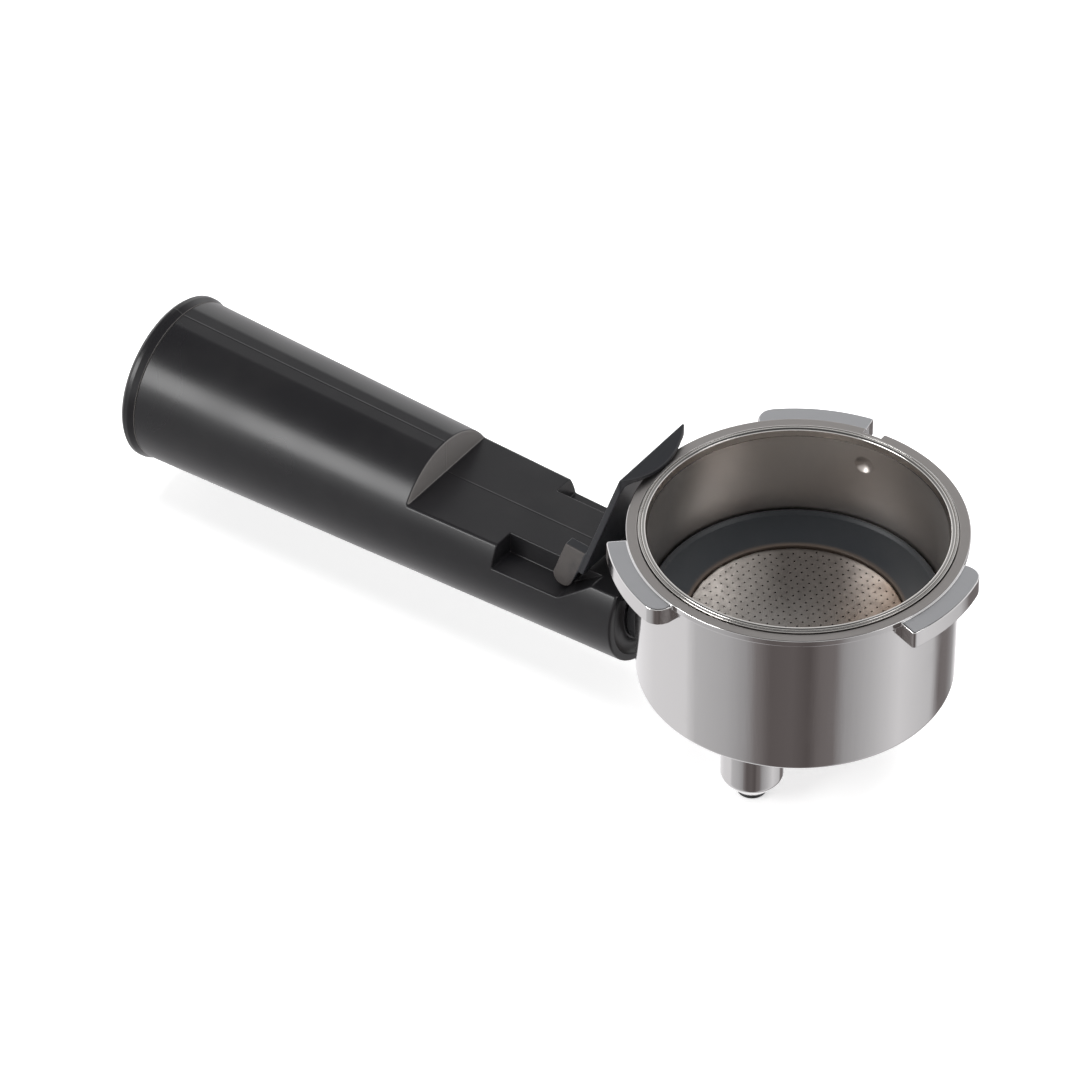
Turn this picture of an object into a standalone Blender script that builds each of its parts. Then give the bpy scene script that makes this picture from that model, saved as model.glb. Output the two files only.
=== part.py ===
"""Espresso portafilter: a cast filter holder with a basket, twin spouts, a handle and a clamp lever.

Units are metres. The origin is the centre of the filter screen's top face. +Z is up along the cup's axis, and
the handle runs along -X. Run it with: blender --background --python part.py
"""

import math

import bmesh
import bpy
from mathutils import Matrix, Vector

MM = 0.001
GAP = 0.3 * MM  # clearance kept between pieces that touch

# Heights on the cup's axis
RIM_Z = 20.3 * MM
SEAT_Z = RIM_Z - 1.0 * MM  # ledge that the basket's flange hangs on
FLOOR_Z = -8.0 * MM
CUP_BOTTOM_Z = -10.4 * MM
SPOUT_END_Z = -29.2 * MM
TIP_Z = SPOUT_END_Z - 1.0 * MM

# Radii about the cup's axis
FLANGE_R = 29.5 * MM
SEAT_R = 27.75 * MM
WALL_R = 27.9 * MM
WALL_FOOT_R = 27.6 * MM
BORE_R = 26.6 * MM
BASKET_IN_R = 25.8 * MM
BASKET_OUT_R = 26.2 * MM
BEAD_R = 27.45 * MM
RING_IN_R = 19.0 * MM
RING_OUT_R = 25.45 * MM
SCREEN_R = 24.9 * MM
SCREEN_THICK = 0.5 * MM
SCREEN_STEP = 0.2 * MM  # the screen's margin lies lower, under the ring
OUTLET_R = 3.8 * MM
BOSS_R = 5.4 * MM
BOSS_LENGTH = 4.2 * MM

# Bayonet lugs
LUG_R = 33.0 * MM
LUG_TOP_Z = RIM_Z - 0.4 * MM
LUG_BOTTOM_Z = RIM_Z - 3.9 * MM
LUG_HALF_ANGLE = 19.5
LUG_ANGLES = (0.0, 120.0, 240.0)
NOTCH_R = 28.3 * MM
NOTCH_ANGLES = (94.0, 101.0)
DIMPLE_ANGLE = 98.0
DIMPLE_Z = RIM_Z - 5.0 * MM
DIMPLE_R = 1.1 * MM

# Handle
HANDLE_Z = -10.1 * MM
HANDLE_FRONT_X = -30.5 * MM
HANDLE_REAR_X = -135.5 * MM
HANDLE_FRONT_R = 12.4 * MM
HANDLE_REAR_R = 15.1 * MM
CAP_SEAM_X = HANDLE_REAR_X + 3.1 * MM
CAVITY_X = -84.5 * MM
CAVITY_R = 11.0 * MM
CAVITY_MOUTH_R = 12.3 * MM
FLAT_Z = HANDLE_Z + 6.9 * MM
FLAT_END_X = -74.6 * MM
POCKET_FLOOR_Z = HANDLE_Z + 2.6 * MM
POCKET_REAR_X = -55.6 * MM
POCKET_RAMP_X = (-41.7 * MM, -35.7 * MM)
TONGUE_HALF = 7.05 * MM
NECK_R = 5.2 * MM
NECK_START_X = -13.0 * MM  # inside the cup's wall and floor
NECK_END_X = -40.5 * MM
THREAD_DEPTH = 9.5 * MM
NECK_BORE_R = 5.5 * MM
BOLT_R = 2.0 * MM

# Clamp lever, in its own frame: s runs up the strap from the hinge, f points forward to the cup
HINGE = Vector((-42.6 * MM, 0.0, RIM_Z - 25.3 * MM))
LEAN = math.radians(19.3)
STRAP_F = (2.1 * MM, 3.3 * MM)
STRAP_S = (3.6 * MM, 30.0 * MM)
STRAP_HALF = 9.6 * MM
EAR_IN = TONGUE_HALF + 0.35 * MM
PADDLE_TIP_X = -27.8 * MM
PIN_R = 0.9 * MM

# Spouts
SPOUT_Y = 12.7 * MM
SPOUT_R = 5.5 * MM
HUB_R = 8.6 * MM
HUB_END_Z = -22.2 * MM
BRIDGE_HALF = 4.6 * MM
BRIDGE_Z = (-21.8 * MM, -14.6 * MM)
SOCKET_Z = -16.0 * MM
TUNNEL_Z = -18.6 * MM
NOZZLE_R = 2.2 * MM
NOZZLE_IN_R = 1.4 * MM
NOZZLE_TOP_Z = -24.0 * MM

ROUND = 60  # sides of a large round piece
MEDIUM_ROUND = 40
SMALL_ROUND = 24
SCREW_ROUND = 12


def clear_scene():
    for obj in list(bpy.data.objects):
        bpy.data.objects.remove(obj, do_unlink=True)


def make_material(name, colour, roughness, metallic):
    mat = bpy.data.materials.new(name)
    mat.use_nodes = True
    shader = mat.node_tree.nodes["Principled BSDF"]
    shader.inputs["Base Color"].default_value = (*colour, 1.0)
    shader.inputs["Roughness"].default_value = roughness
    shader.inputs["Metallic"].default_value = metallic
    mat.diffuse_color = (*colour, 1.0)
    return mat


def make_materials():
    return {
        "cast": make_material("polished_aluminium", (0.78, 0.77, 0.76), 0.16, 1.0),
        "steel": make_material("satin_steel", (0.55, 0.53, 0.50), 0.32, 1.0),
        "screen": make_material("screen_steel", (0.62, 0.59, 0.56), 0.40, 1.0),
        "ring": make_material("dark_ring", (0.05, 0.055, 0.06), 0.45, 0.0),
        "black": make_material("black_plastic", (0.03, 0.03, 0.033), 0.48, 0.0),
        "rubber": make_material("black_rubber", (0.02, 0.02, 0.02), 0.8, 0.0),
        "zinc": make_material("zinc_steel", (0.6, 0.6, 0.58), 0.35, 1.0),
    }


def to_object(bm, name, mat):
    """The bmesh as an object, with its normals facing out and its round faces shaded smooth."""
    bmesh.ops.remove_doubles(bm, verts=bm.verts, dist=1e-6)
    bmesh.ops.recalc_face_normals(bm, faces=bm.faces)
    mesh = bpy.data.meshes.new(name)
    bm.to_mesh(mesh)
    bm.free()
    mesh.shade_smooth()
    mesh.set_sharp_from_angle(angle=math.radians(35))
    if mat:
        mesh.materials.append(mat)
    obj = bpy.data.objects.new(name, mesh)
    bpy.context.scene.collection.objects.link(obj)
    return obj


def lathe(name, profile, mat, steps=ROUND, solid=False, along_x=False, centre=(0.0, 0.0, 0.0)):
    """Turns (radius, height) points about Z, or about X. A solid profile starts and ends on the axis."""
    bm = bmesh.new()
    verts = [bm.verts.new((r, 0.0, h)) for r, h in profile]
    pairs = list(zip(verts, verts[1:]))
    if not solid:
        pairs.append((verts[-1], verts[0]))
    edges = [bm.edges.new(pair) for pair in pairs]
    bmesh.ops.spin(
        bm, geom=verts + edges, cent=(0, 0, 0), axis=(0, 0, 1), angle=math.tau, steps=steps, use_merge=True
    )
    if along_x:
        bmesh.ops.rotate(bm, verts=bm.verts, cent=(0, 0, 0), matrix=Matrix.Rotation(math.pi / 2, 3, "Y"))
    bmesh.ops.translate(bm, verts=bm.verts, vec=centre)
    return to_object(bm, name, mat)


def prism(name, outline, low, high, mat=None, axis="Y"):
    """Extrudes an outline from low to high: (x, z) points along Y, (x, y) along Z, or (y, z) along X."""
    place = {
        "X": lambda a, b: (low, a, b),
        "Y": lambda a, b: (a, low, b),
        "Z": lambda a, b: (a, b, low),
    }[axis]
    step = Vector((axis == "X", axis == "Y", axis == "Z")) * (high - low)
    bm = bmesh.new()
    face = bm.faces.new([bm.verts.new(place(a, b)) for a, b in outline])
    grown = bmesh.ops.extrude_face_region(bm, geom=[face])
    top = [item for item in grown["geom"] if isinstance(item, bmesh.types.BMVert)]
    bmesh.ops.translate(bm, verts=top, vec=step)
    return to_object(bm, name, mat)


def arc(radius, start, end, count, centre=(0.0, 0.0)):
    """Points on an arc, from start to end in degrees."""
    angles = [math.radians(start + (end - start) * i / count) for i in range(count + 1)]
    return [(centre[0] + radius * math.cos(a), centre[1] + radius * math.sin(a)) for a in angles]


def sector(r_in, r_out, start, end, count=12):
    """Outline of a piece of a ring."""
    return arc(r_in, start, end, count) + arc(r_out, end, start, count)


def combine(target, tool, operation):
    """Adds a Boolean with a helper, which is kept out of the render."""
    modifier = target.modifiers.new(tool.name, "BOOLEAN")
    modifier.operation = operation
    modifier.solver = "EXACT"
    modifier.object = tool
    tool.hide_render = True
    tool.display_type = "WIRE"


def bevel(obj, width, segments=2, angle=40.0):
    modifier = obj.modifiers.new("edges", "BEVEL")
    modifier.width = width
    modifier.segments = segments
    modifier.limit_method = "ANGLE"
    modifier.angle_limit = math.radians(angle)


def move_origin(obj, point):
    obj.data.transform(Matrix.Translation(-point))
    obj.location = point


def make_holder(mats):
    """Cast cup with its flange, lugs, neck and outlet boss, and the cavity turned out of it last."""
    outside = [
        (0, RIM_Z),
        (FLANGE_R, RIM_Z),
        (FLANGE_R, RIM_Z - 0.9 * MM),
        (WALL_R + 0.5 * MM, RIM_Z - 1.3 * MM),
        (WALL_R, RIM_Z - 2.2 * MM),
        (WALL_FOOT_R, CUP_BOTTOM_Z + 0.4 * MM),
        (WALL_FOOT_R - 0.4 * MM, CUP_BOTTOM_Z),
        (BOSS_R, CUP_BOTTOM_Z),
        (BOSS_R, CUP_BOTTOM_Z - BOSS_LENGTH),
        (0, CUP_BOTTOM_Z - BOSS_LENGTH),
    ]
    holder = lathe("holder_casting", outside, mats["cast"], solid=True)
    for number, angle in enumerate(LUG_ANGLES):
        outline = sector(BORE_R, LUG_R, angle - LUG_HALF_ANGLE, angle + LUG_HALF_ANGLE, 8)
        lug = prism(f"lug_{number}", outline, LUG_BOTTOM_Z, LUG_TOP_Z, axis="Z")
        bevel(lug, 0.35 * MM, segments=1)
        combine(holder, lug, "UNION")
    neck_profile = [
        (0, NECK_START_X),
        (NECK_R - 1.8 * MM, NECK_START_X - 1 * MM),
        (NECK_R, NECK_START_X - 4 * MM),
        (NECK_R, NECK_END_X),
        (0, NECK_END_X),
    ]
    neck = lathe("neck", neck_profile, None, SMALL_ROUND, solid=True, along_x=True, centre=(0, 0, HANDLE_Z))
    combine(holder, neck, "UNION")
    inside = [
        (0, RIM_Z + 5 * MM),
        (SEAT_R, RIM_Z + 5 * MM),
        (SEAT_R, SEAT_Z),
        (BORE_R, SEAT_Z),
        (BORE_R, FLOOR_Z + 1.0 * MM),
        (BORE_R - 1.0 * MM, FLOOR_Z),
        (OUTLET_R, FLOOR_Z),
        (OUTLET_R, CUP_BOTTOM_Z - 8 * MM),
        (0, CUP_BOTTOM_Z - 8 * MM),
    ]
    combine(holder, lathe("cut_cavity", inside, None, solid=True), "DIFFERENCE")
    notch = sector(NOTCH_R, LUG_R + 2 * MM, *NOTCH_ANGLES, 3)
    combine(holder, prism("cut_notch", notch, LUG_BOTTOM_Z - 1 * MM, RIM_Z + 2 * MM, axis="Z"), "DIFFERENCE")
    half = math.degrees(1.7 * MM / BORE_R)
    groove = sector(BORE_R - 2 * MM, BORE_R + 0.7 * MM, DIMPLE_ANGLE - half, DIMPLE_ANGLE + half, 3)
    low = DIMPLE_Z - 2 * MM
    combine(holder, prism("cut_groove", groove, low, RIM_Z - 0.5 * MM, axis="Z"), "DIFFERENCE")
    for number, y in enumerate(screw_places()):
        profile = [(0, FLOOR_Z + 2 * MM), (1.3 * MM, FLOOR_Z + 2 * MM), (1.3 * MM, FLOOR_Z - 1.9 * MM)]
        profile.append((0, FLOOR_Z - 1.9 * MM))
        hole = lathe(f"cut_screw_{number}", profile, None, SCREW_ROUND, solid=True, centre=(0, y, 0))
        combine(holder, hole, "DIFFERENCE")
    deep = NECK_END_X + THREAD_DEPTH
    past = NECK_END_X - 2 * MM
    bolt_hole = [(0, deep), (BOLT_R + GAP, deep), (BOLT_R + GAP, past), (0, past)]
    axis = (0, 0, HANDLE_Z)
    bore = lathe("cut_neck_bore", bolt_hole, None, SMALL_ROUND, solid=True, along_x=True, centre=axis)
    combine(holder, bore, "DIFFERENCE")
    return holder


def screw_places():
    return (-13.0 * MM, 13.0 * MM)


def make_basket(mats):
    """Pressed basket with a rolled bead, a ledge for the screen and one fine outlet, its ring and screen."""
    profile = [
        (0.8 * MM, -3.1 * MM),
        (23.0 * MM, -3.1 * MM),
        (23.0 * MM, -0.8 * MM),
        (BASKET_IN_R, -0.8 * MM),
        (BASKET_IN_R, RIM_Z - 0.5 * MM),
        (26.35 * MM, RIM_Z + 0.3 * MM),
        (26.7 * MM, RIM_Z + 0.05 * MM),
        (27.15 * MM, RIM_Z + 0.45 * MM),
        (BEAD_R, RIM_Z + 0.15 * MM),
        (BEAD_R, SEAT_Z + GAP),
        (BASKET_OUT_R, SEAT_Z + GAP),
        (BASKET_OUT_R, -1.2 * MM),
        (23.4 * MM, -1.2 * MM),
        (23.4 * MM, -3.5 * MM),
        (0.8 * MM, -3.5 * MM),
    ]
    basket = lathe("filter_basket", profile, mats["steel"])
    angle = math.radians(DIMPLE_ANGLE)
    dimple_reach = BASKET_IN_R + 0.05 * MM
    cut_reach = dimple_reach - 0.6 * MM
    for name, reach, operation in (
        ("dimple", dimple_reach, "UNION"),
        ("cut_dimple", cut_reach, "DIFFERENCE"),
    ):
        bm = bmesh.new()
        bmesh.ops.create_icosphere(bm, subdivisions=2, radius=DIMPLE_R)
        ball = to_object(bm, name, None)
        ball.location = (reach * math.cos(angle), reach * math.sin(angle), DIMPLE_Z)
        combine(basket, ball, operation)
    ring_low = GAP - SCREEN_STEP
    ring = [
        (RING_IN_R, ring_low),
        (RING_OUT_R, ring_low),
        (RING_OUT_R, 3.0 * MM),
        (RING_OUT_R - 0.3 * MM, 3.2 * MM),
        (RING_IN_R + 0.2 * MM, 0.8 * MM),
        (RING_IN_R, 0.6 * MM),
    ]
    seat_r = RING_IN_R - 0.4 * MM
    screen = [
        (0, 0),
        (seat_r, 0),
        (seat_r + 0.2 * MM, -SCREEN_STEP),
        (SCREEN_R, -SCREEN_STEP),
        (SCREEN_R, -SCREEN_THICK),
        (0, -SCREEN_THICK),
    ]
    pieces = [
        basket,
        lathe("basket_ring", ring, mats["ring"]),
        lathe("filter_screen", screen, mats["screen"], solid=True),
    ]
    lift = bpy.data.objects.new("basket_lift_axis", None)
    bpy.context.scene.collection.objects.link(lift)
    for piece in pieces:
        piece.parent = lift


def make_outlet(mats):
    """Channel plate in the cup's floor, with its seal and two screws."""
    plate = [
        (1.8 * MM, -5.1 * MM),
        (19.5 * MM, -5.1 * MM),
        (20.0 * MM, -5.6 * MM),
        (20.0 * MM, -6.9 * MM),
        (3.4 * MM, -6.9 * MM),
        (3.4 * MM, -9.8 * MM),
        (1.8 * MM, -9.8 * MM),
    ]
    outlet_plate = lathe("outlet_plate", plate, mats["black"], MEDIUM_ROUND)
    seal = [(15.0 * MM, -7.2 * MM), (17.5 * MM, -7.2 * MM), (17.5 * MM, -7.7 * MM), (15.0 * MM, -7.7 * MM)]
    lathe("outlet_seal", seal, mats["rubber"], MEDIUM_ROUND)
    shank_r = 1.0 * MM
    screw = [
        (0, -3.9 * MM),
        (2.2 * MM, -3.9 * MM),
        (2.4 * MM, -4.1 * MM),
        (2.4 * MM, -4.8 * MM),
        (shank_r, -4.8 * MM),
        (shank_r, -9.6 * MM),
        (0, -9.6 * MM),
    ]
    for side, y in zip(("right", "left"), screw_places()):
        piece = lathe(f"outlet_screw_{side}", screw, mats["zinc"], SCREW_ROUND, solid=True, centre=(0, y, 0))
        low, high = y - 0.3 * MM, y + 0.3 * MM
        slot = [(-3 * MM, low), (3 * MM, low), (3 * MM, high), (-3 * MM, high)]
        combine(piece, prism(f"cut_slot_{side}", slot, -4.4 * MM, -3 * MM, axis="Z"), "DIFFERENCE")
        hole_r = shank_r + GAP
        hole = [(0, -4 * MM), (hole_r, -4 * MM), (hole_r, -8 * MM), (0, -8 * MM)]
        cutter = lathe(f"cut_plate_{side}", hole, None, SCREW_ROUND, solid=True, centre=(0, y, 0))
        combine(outlet_plate, cutter, "DIFFERENCE")


def make_spouts(mats):
    """Twin spout screwed onto the outlet boss, its gasket and the two nozzle tips."""
    top = CUP_BOTTOM_Z - GAP
    hub = [
        (0, top),
        (HUB_R, top),
        (HUB_R, HUB_END_Z + 0.6 * MM),
        (HUB_R - 0.6 * MM, HUB_END_Z),
        (0, HUB_END_Z),
    ]
    block = lathe("spout_block", hub, mats["cast"], MEDIUM_ROUND, solid=True)
    half = BRIDGE_HALF
    low, high = BRIDGE_Z
    cut = 2 * MM
    bar = [(-half, low + cut), (-half + cut, low), (half - cut, low), (half, low + cut)]
    bar += [(half, high - cut), (half - cut, high), (-half + cut, high), (-half, high - cut)]
    combine(block, prism("bridge", bar, -SPOUT_Y, SPOUT_Y, axis="Y"), "UNION")
    tube = [
        (0, -13.8 * MM),
        (4.4 * MM, -13.8 * MM),
        (SPOUT_R, -14.9 * MM),
        (SPOUT_R, -26.1 * MM),
        (2.9 * MM, SPOUT_END_Z),
        (0, SPOUT_END_Z),
    ]
    bore_r = NOZZLE_R + GAP
    bore = [(0, TUNNEL_Z), (bore_r, TUNNEL_Z), (bore_r, SPOUT_END_Z - 3 * MM), (0, SPOUT_END_Z - 3 * MM)]
    sides = (("right", -SPOUT_Y), ("left", SPOUT_Y))
    for side, y in sides:
        spout = lathe(f"spout_{side}", tube, None, SMALL_ROUND, solid=True, centre=(0, y, 0))
        combine(block, spout, "UNION")
    socket_r = BOSS_R + GAP
    chamber_r = OUTLET_R - 0.4 * MM
    socket = [(0, -9 * MM), (socket_r, -9 * MM), (socket_r, SOCKET_Z), (chamber_r, SOCKET_Z)]
    socket += [(chamber_r, TUNNEL_Z), (0, TUNNEL_Z)]
    combine(block, lathe("cut_socket", socket, None, SMALL_ROUND, solid=True), "DIFFERENCE")
    tunnel = prism("cut_tunnel", arc(2.1 * MM, 0, 330, 11, (0, TUNNEL_Z)), -SPOUT_Y, SPOUT_Y, axis="Y")
    combine(block, tunnel, "DIFFERENCE")
    for side, y in sides:
        cutter = lathe(f"cut_bore_{side}", bore, None, SMALL_ROUND, solid=True, centre=(0, y, 0))
        combine(block, cutter, "DIFFERENCE")
    upper = CUP_BOTTOM_Z - BOSS_LENGTH - GAP
    lower = SOCKET_Z + GAP
    gasket = [(4.0 * MM, upper), (5.2 * MM, upper), (5.2 * MM, lower), (4.0 * MM, lower)]
    lathe("spout_gasket", gasket, mats["rubber"], SMALL_ROUND)
    nozzle = [
        (NOZZLE_IN_R, TIP_Z),
        (NOZZLE_IN_R, NOZZLE_TOP_Z),
        (NOZZLE_R, NOZZLE_TOP_Z),
        (NOZZLE_R, SPOUT_END_Z - GAP),
        (NOZZLE_R + 0.4 * MM, SPOUT_END_Z - GAP),
        (NOZZLE_R + 0.4 * MM, TIP_Z),
    ]
    for side, y in sides:
        lathe(f"nozzle_{side}", nozzle, mats["black"], SMALL_ROUND, centre=(0, y, 0))


def handle_radius(x):
    share = (x - HANDLE_FRONT_X) / (HANDLE_REAR_X - HANDLE_FRONT_X)
    return HANDLE_FRONT_R + share * (HANDLE_REAR_R - HANDLE_FRONT_R)


def make_handle(mats):
    """Tapered handle shell with its lever flat, two side pockets and a tongue between them."""
    axis = (0, 0, HANDLE_Z)
    body = [
        (NECK_BORE_R, HANDLE_FRONT_X),
        (HANDLE_FRONT_R - 0.4 * MM, HANDLE_FRONT_X),
        (HANDLE_FRONT_R, HANDLE_FRONT_X - 0.4 * MM),
        (handle_radius(CAP_SEAM_X), CAP_SEAM_X),
        (CAVITY_MOUTH_R, CAP_SEAM_X),
        (CAVITY_R, CAVITY_X),
        (BOLT_R + 0.4 * MM, CAVITY_X),
        (BOLT_R + 0.4 * MM, NECK_END_X - GAP),
        (NECK_BORE_R, NECK_END_X - GAP),
    ]
    handle = lathe("handle_body", body, mats["black"], ROUND, along_x=True, centre=axis)
    over = 20 * MM
    flat = [(FLAT_END_X, FLAT_Z), (-28 * MM, FLAT_Z), (-28 * MM, FLAT_Z + over), (FLAT_END_X, FLAT_Z + over)]
    combine(handle, prism("cut_flat", flat, -over, over), "DIFFERENCE")
    ramp_low, ramp_high = POCKET_RAMP_X
    slope = (FLAT_Z - POCKET_FLOOR_Z) / (ramp_high - ramp_low)
    above = 3 * MM
    pocket = [
        (POCKET_REAR_X, POCKET_FLOOR_Z),
        (ramp_low, POCKET_FLOOR_Z),
        (ramp_high + above / slope, FLAT_Z + above),
        (POCKET_REAR_X, FLAT_Z + above),
    ]
    for side, low, high in (("right", -over, -TONGUE_HALF), ("left", TONGUE_HALF, over)):
        combine(handle, prism(f"cut_pocket_{side}", pocket, low, high), "DIFFERENCE")
    recess = [(y, HANDLE_Z + z) for y, z in sector(8.1 * MM, 11.0 * MM, -209, 29, 24)]
    depth = HANDLE_FRONT_X - 1.1 * MM
    combine(handle, prism("cut_front", recess, depth, HANDLE_FRONT_X + 2 * MM, axis="X"), "DIFFERENCE")
    hole = arc(PIN_R + GAP, 0, 337.5, 15, (HINGE.x, HINGE.z))
    combine(handle, prism("cut_pin", hole, -over, over), "DIFFERENCE")
    collar = [
        (NECK_R + GAP, -28.2 * MM),
        (NECK_R + GAP, HANDLE_FRONT_X + GAP),
        (7.8 * MM, HANDLE_FRONT_X + GAP),
        (7.8 * MM, -28.5 * MM),
        (7.5 * MM, -28.2 * MM),
    ]
    lathe("neck_collar", collar, mats["black"], MEDIUM_ROUND, along_x=True, centre=axis)
    seam = CAP_SEAM_X - GAP
    cap = [
        (0, CAP_SEAM_X + 6.0 * MM),
        (CAVITY_MOUTH_R - 0.5 * MM, CAP_SEAM_X + 6.0 * MM),
        (CAVITY_MOUTH_R - 0.5 * MM, seam),
        (HANDLE_REAR_R - 0.05 * MM, seam),
        (HANDLE_REAR_R + 0.4 * MM, seam - 1.2 * MM),
        (HANDLE_REAR_R + 0.4 * MM, HANDLE_REAR_X + 0.6 * MM),
        (HANDLE_REAR_R - 0.2 * MM, HANDLE_REAR_X),
        (HANDLE_REAR_R - 2.0 * MM, HANDLE_REAR_X),
        (HANDLE_REAR_R - 2.6 * MM, HANDLE_REAR_X + 0.5 * MM),
        (0, HANDLE_REAR_X + 0.5 * MM),
    ]
    lathe("handle_end_cap", cap, mats["black"], ROUND, solid=True, along_x=True, centre=axis)


def make_bolt(mats):
    """Tie bolt from the handle's rear cavity into the neck, with a flat and a spring washer."""
    axis = (0, 0, HANDLE_Z)
    hole_r = BOLT_R + GAP

    def washer(name, front, rear, outer):
        ring = [(hole_r, front), (hole_r, rear), (outer, rear), (outer, front)]
        return lathe(name, ring, mats["zinc"], SMALL_ROUND, along_x=True, centre=axis)

    washer("flat_washer", CAVITY_X - GAP, CAVITY_X - 1.3 * MM, 5.0 * MM)
    split = washer("spring_washer", CAVITY_X - 1.6 * MM, CAVITY_X - 2.6 * MM, 3.8 * MM)
    half = 0.3 * MM
    over = HANDLE_Z + 6 * MM
    gap = [(-half, HANDLE_Z), (half, HANDLE_Z), (half, over), (-half, over)]
    combine(split, prism("cut_split", gap, CAVITY_X - 4 * MM, CAVITY_X, axis="X"), "DIFFERENCE")
    head = CAVITY_X - 2.9 * MM
    tip = NECK_END_X + THREAD_DEPTH - 1.5 * MM
    shank = [
        (0, tip),
        (BOLT_R - 0.4 * MM, tip),
        (BOLT_R, tip - 0.5 * MM),
        (BOLT_R, head),
        (3.6 * MM, head),
        (3.6 * MM, head - 3.2 * MM),
        (3.2 * MM, head - 3.6 * MM),
        (0, head - 3.6 * MM),
    ]
    bolt = lathe("tie_bolt", shank, mats["zinc"], SMALL_ROUND, solid=True, along_x=True, centre=axis)
    hexagon = [(y, HANDLE_Z + z) for y, z in arc(1.8 * MM, 0, 300, 5)]
    combine(bolt, prism("cut_hex", hexagon, head - 6 * MM, head - 1.6 * MM, axis="X"), "DIFFERENCE")


def lever_point(s, f):
    """(x, z) of a point s up the strap and f forward of the hinge."""
    x = HINGE.x + s * math.sin(LEAN) + f * math.cos(LEAN)
    z = HINGE.z + s * math.cos(LEAN) - f * math.sin(LEAN)
    return x, z


def make_lever(mats):
    """Clamp lever: a leaning strap, a curved paddle over the rim and two ears on the hinge pin."""
    back, front = STRAP_F
    foot, fold = STRAP_S
    tip_low = RIM_Z + 0.35 * MM
    side = [
        lever_point(foot, back),
        lever_point(fold - 0.5 * MM, back),
        lever_point(fold, back + 0.3 * MM),
        (PADDLE_TIP_X, RIM_Z + 1.05 * MM),
        (PADDLE_TIP_X, tip_low),
        (PADDLE_TIP_X - 1.1 * MM, tip_low),
        (-29.95 * MM, RIM_Z + 0.8 * MM),
        lever_point(foot, front),
    ]
    lever = prism("clamp_lever", side, -STRAP_HALF, STRAP_HALF, mats["black"])
    chord_x = lever_point(fold, back)[0] + 0.1 * MM
    sagitta = PADDLE_TIP_X - chord_x
    reach = STRAP_HALF + 0.1 * MM
    radius = (reach**2 + sagitta**2) / (2 * sagitta)
    half = math.degrees(math.asin(reach / radius))
    plan = arc(radius, -half, half, 16, (PADDLE_TIP_X - radius, 0))
    plan += [(-60 * MM, reach), (-60 * MM, -reach)]
    combine(lever, prism("keep_paddle", plan, -20 * MM, 30 * MM, axis="Z"), "INTERSECT")
    round_r = 2.0 * MM
    ear = [(10.0 * MM, back + 0.6 * MM), (3.0 * MM, back + 0.6 * MM), (1.2 * MM, round_r)]
    ear += [(s, f) for f, s in arc(round_r, -20, -160, 8)]
    ear += [(1.2 * MM, -round_r), (7.6 * MM, -round_r)]
    outline = [lever_point(s, f) for s, f in ear]
    for name, low, high in (("right", -STRAP_HALF, -EAR_IN), ("left", EAR_IN, STRAP_HALF)):
        combine(lever, prism(f"ear_{name}", outline, low, high), "UNION")
    hole = arc(PIN_R + GAP, 0, 337.5, 15, (HINGE.x, HINGE.z))
    combine(lever, prism("cut_lever_pin", hole, -20 * MM, 20 * MM), "DIFFERENCE")
    move_origin(lever, HINGE)
    end = STRAP_HALF - 0.2 * MM
    pin = lathe("lever_pin", pin_profile(end), mats["zinc"], 16, solid=True)
    pin.data.transform(Matrix.Rotation(math.pi / 2, 4, "X"))
    pin.location = HINGE


def pin_profile(end):
    chamfer = 0.2 * MM
    return [
        (0, end),
        (PIN_R - chamfer, end),
        (PIN_R, end - chamfer),
        (PIN_R, chamfer - end),
        (PIN_R - chamfer, -end),
        (0, -end),
    ]


def main():
    clear_scene()
    mats = make_materials()
    make_holder(mats)
    make_basket(mats)
    make_outlet(mats)
    make_spouts(mats)
    make_handle(mats)
    make_bolt(mats)
    make_lever(mats)


main()
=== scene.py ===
from math import ceil, cos, degrees, hypot, pi, radians, sin, tan, tau

import bmesh
import bpy
import numpy as np
from mathutils import Matrix, Vector, geometry


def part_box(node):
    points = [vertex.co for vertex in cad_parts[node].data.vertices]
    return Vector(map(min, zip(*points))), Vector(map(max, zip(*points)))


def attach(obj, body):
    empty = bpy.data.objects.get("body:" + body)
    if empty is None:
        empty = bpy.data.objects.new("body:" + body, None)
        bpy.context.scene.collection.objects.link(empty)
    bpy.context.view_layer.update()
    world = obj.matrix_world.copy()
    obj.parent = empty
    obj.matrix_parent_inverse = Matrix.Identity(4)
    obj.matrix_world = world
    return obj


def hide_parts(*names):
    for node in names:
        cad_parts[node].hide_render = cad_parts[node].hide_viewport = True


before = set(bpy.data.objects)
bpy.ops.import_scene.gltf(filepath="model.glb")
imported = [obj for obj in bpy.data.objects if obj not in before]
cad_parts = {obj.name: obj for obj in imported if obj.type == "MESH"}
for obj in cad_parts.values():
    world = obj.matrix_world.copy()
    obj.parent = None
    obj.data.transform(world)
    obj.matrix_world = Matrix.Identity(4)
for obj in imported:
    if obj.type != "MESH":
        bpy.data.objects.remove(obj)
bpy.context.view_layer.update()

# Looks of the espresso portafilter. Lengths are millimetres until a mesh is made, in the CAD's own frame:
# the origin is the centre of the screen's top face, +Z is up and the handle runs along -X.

MM = 0.001


def span(node):
    """Lowest and highest corner of a CAD node, in millimetres."""
    low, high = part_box(node)
    return low / MM, high / MM


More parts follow.
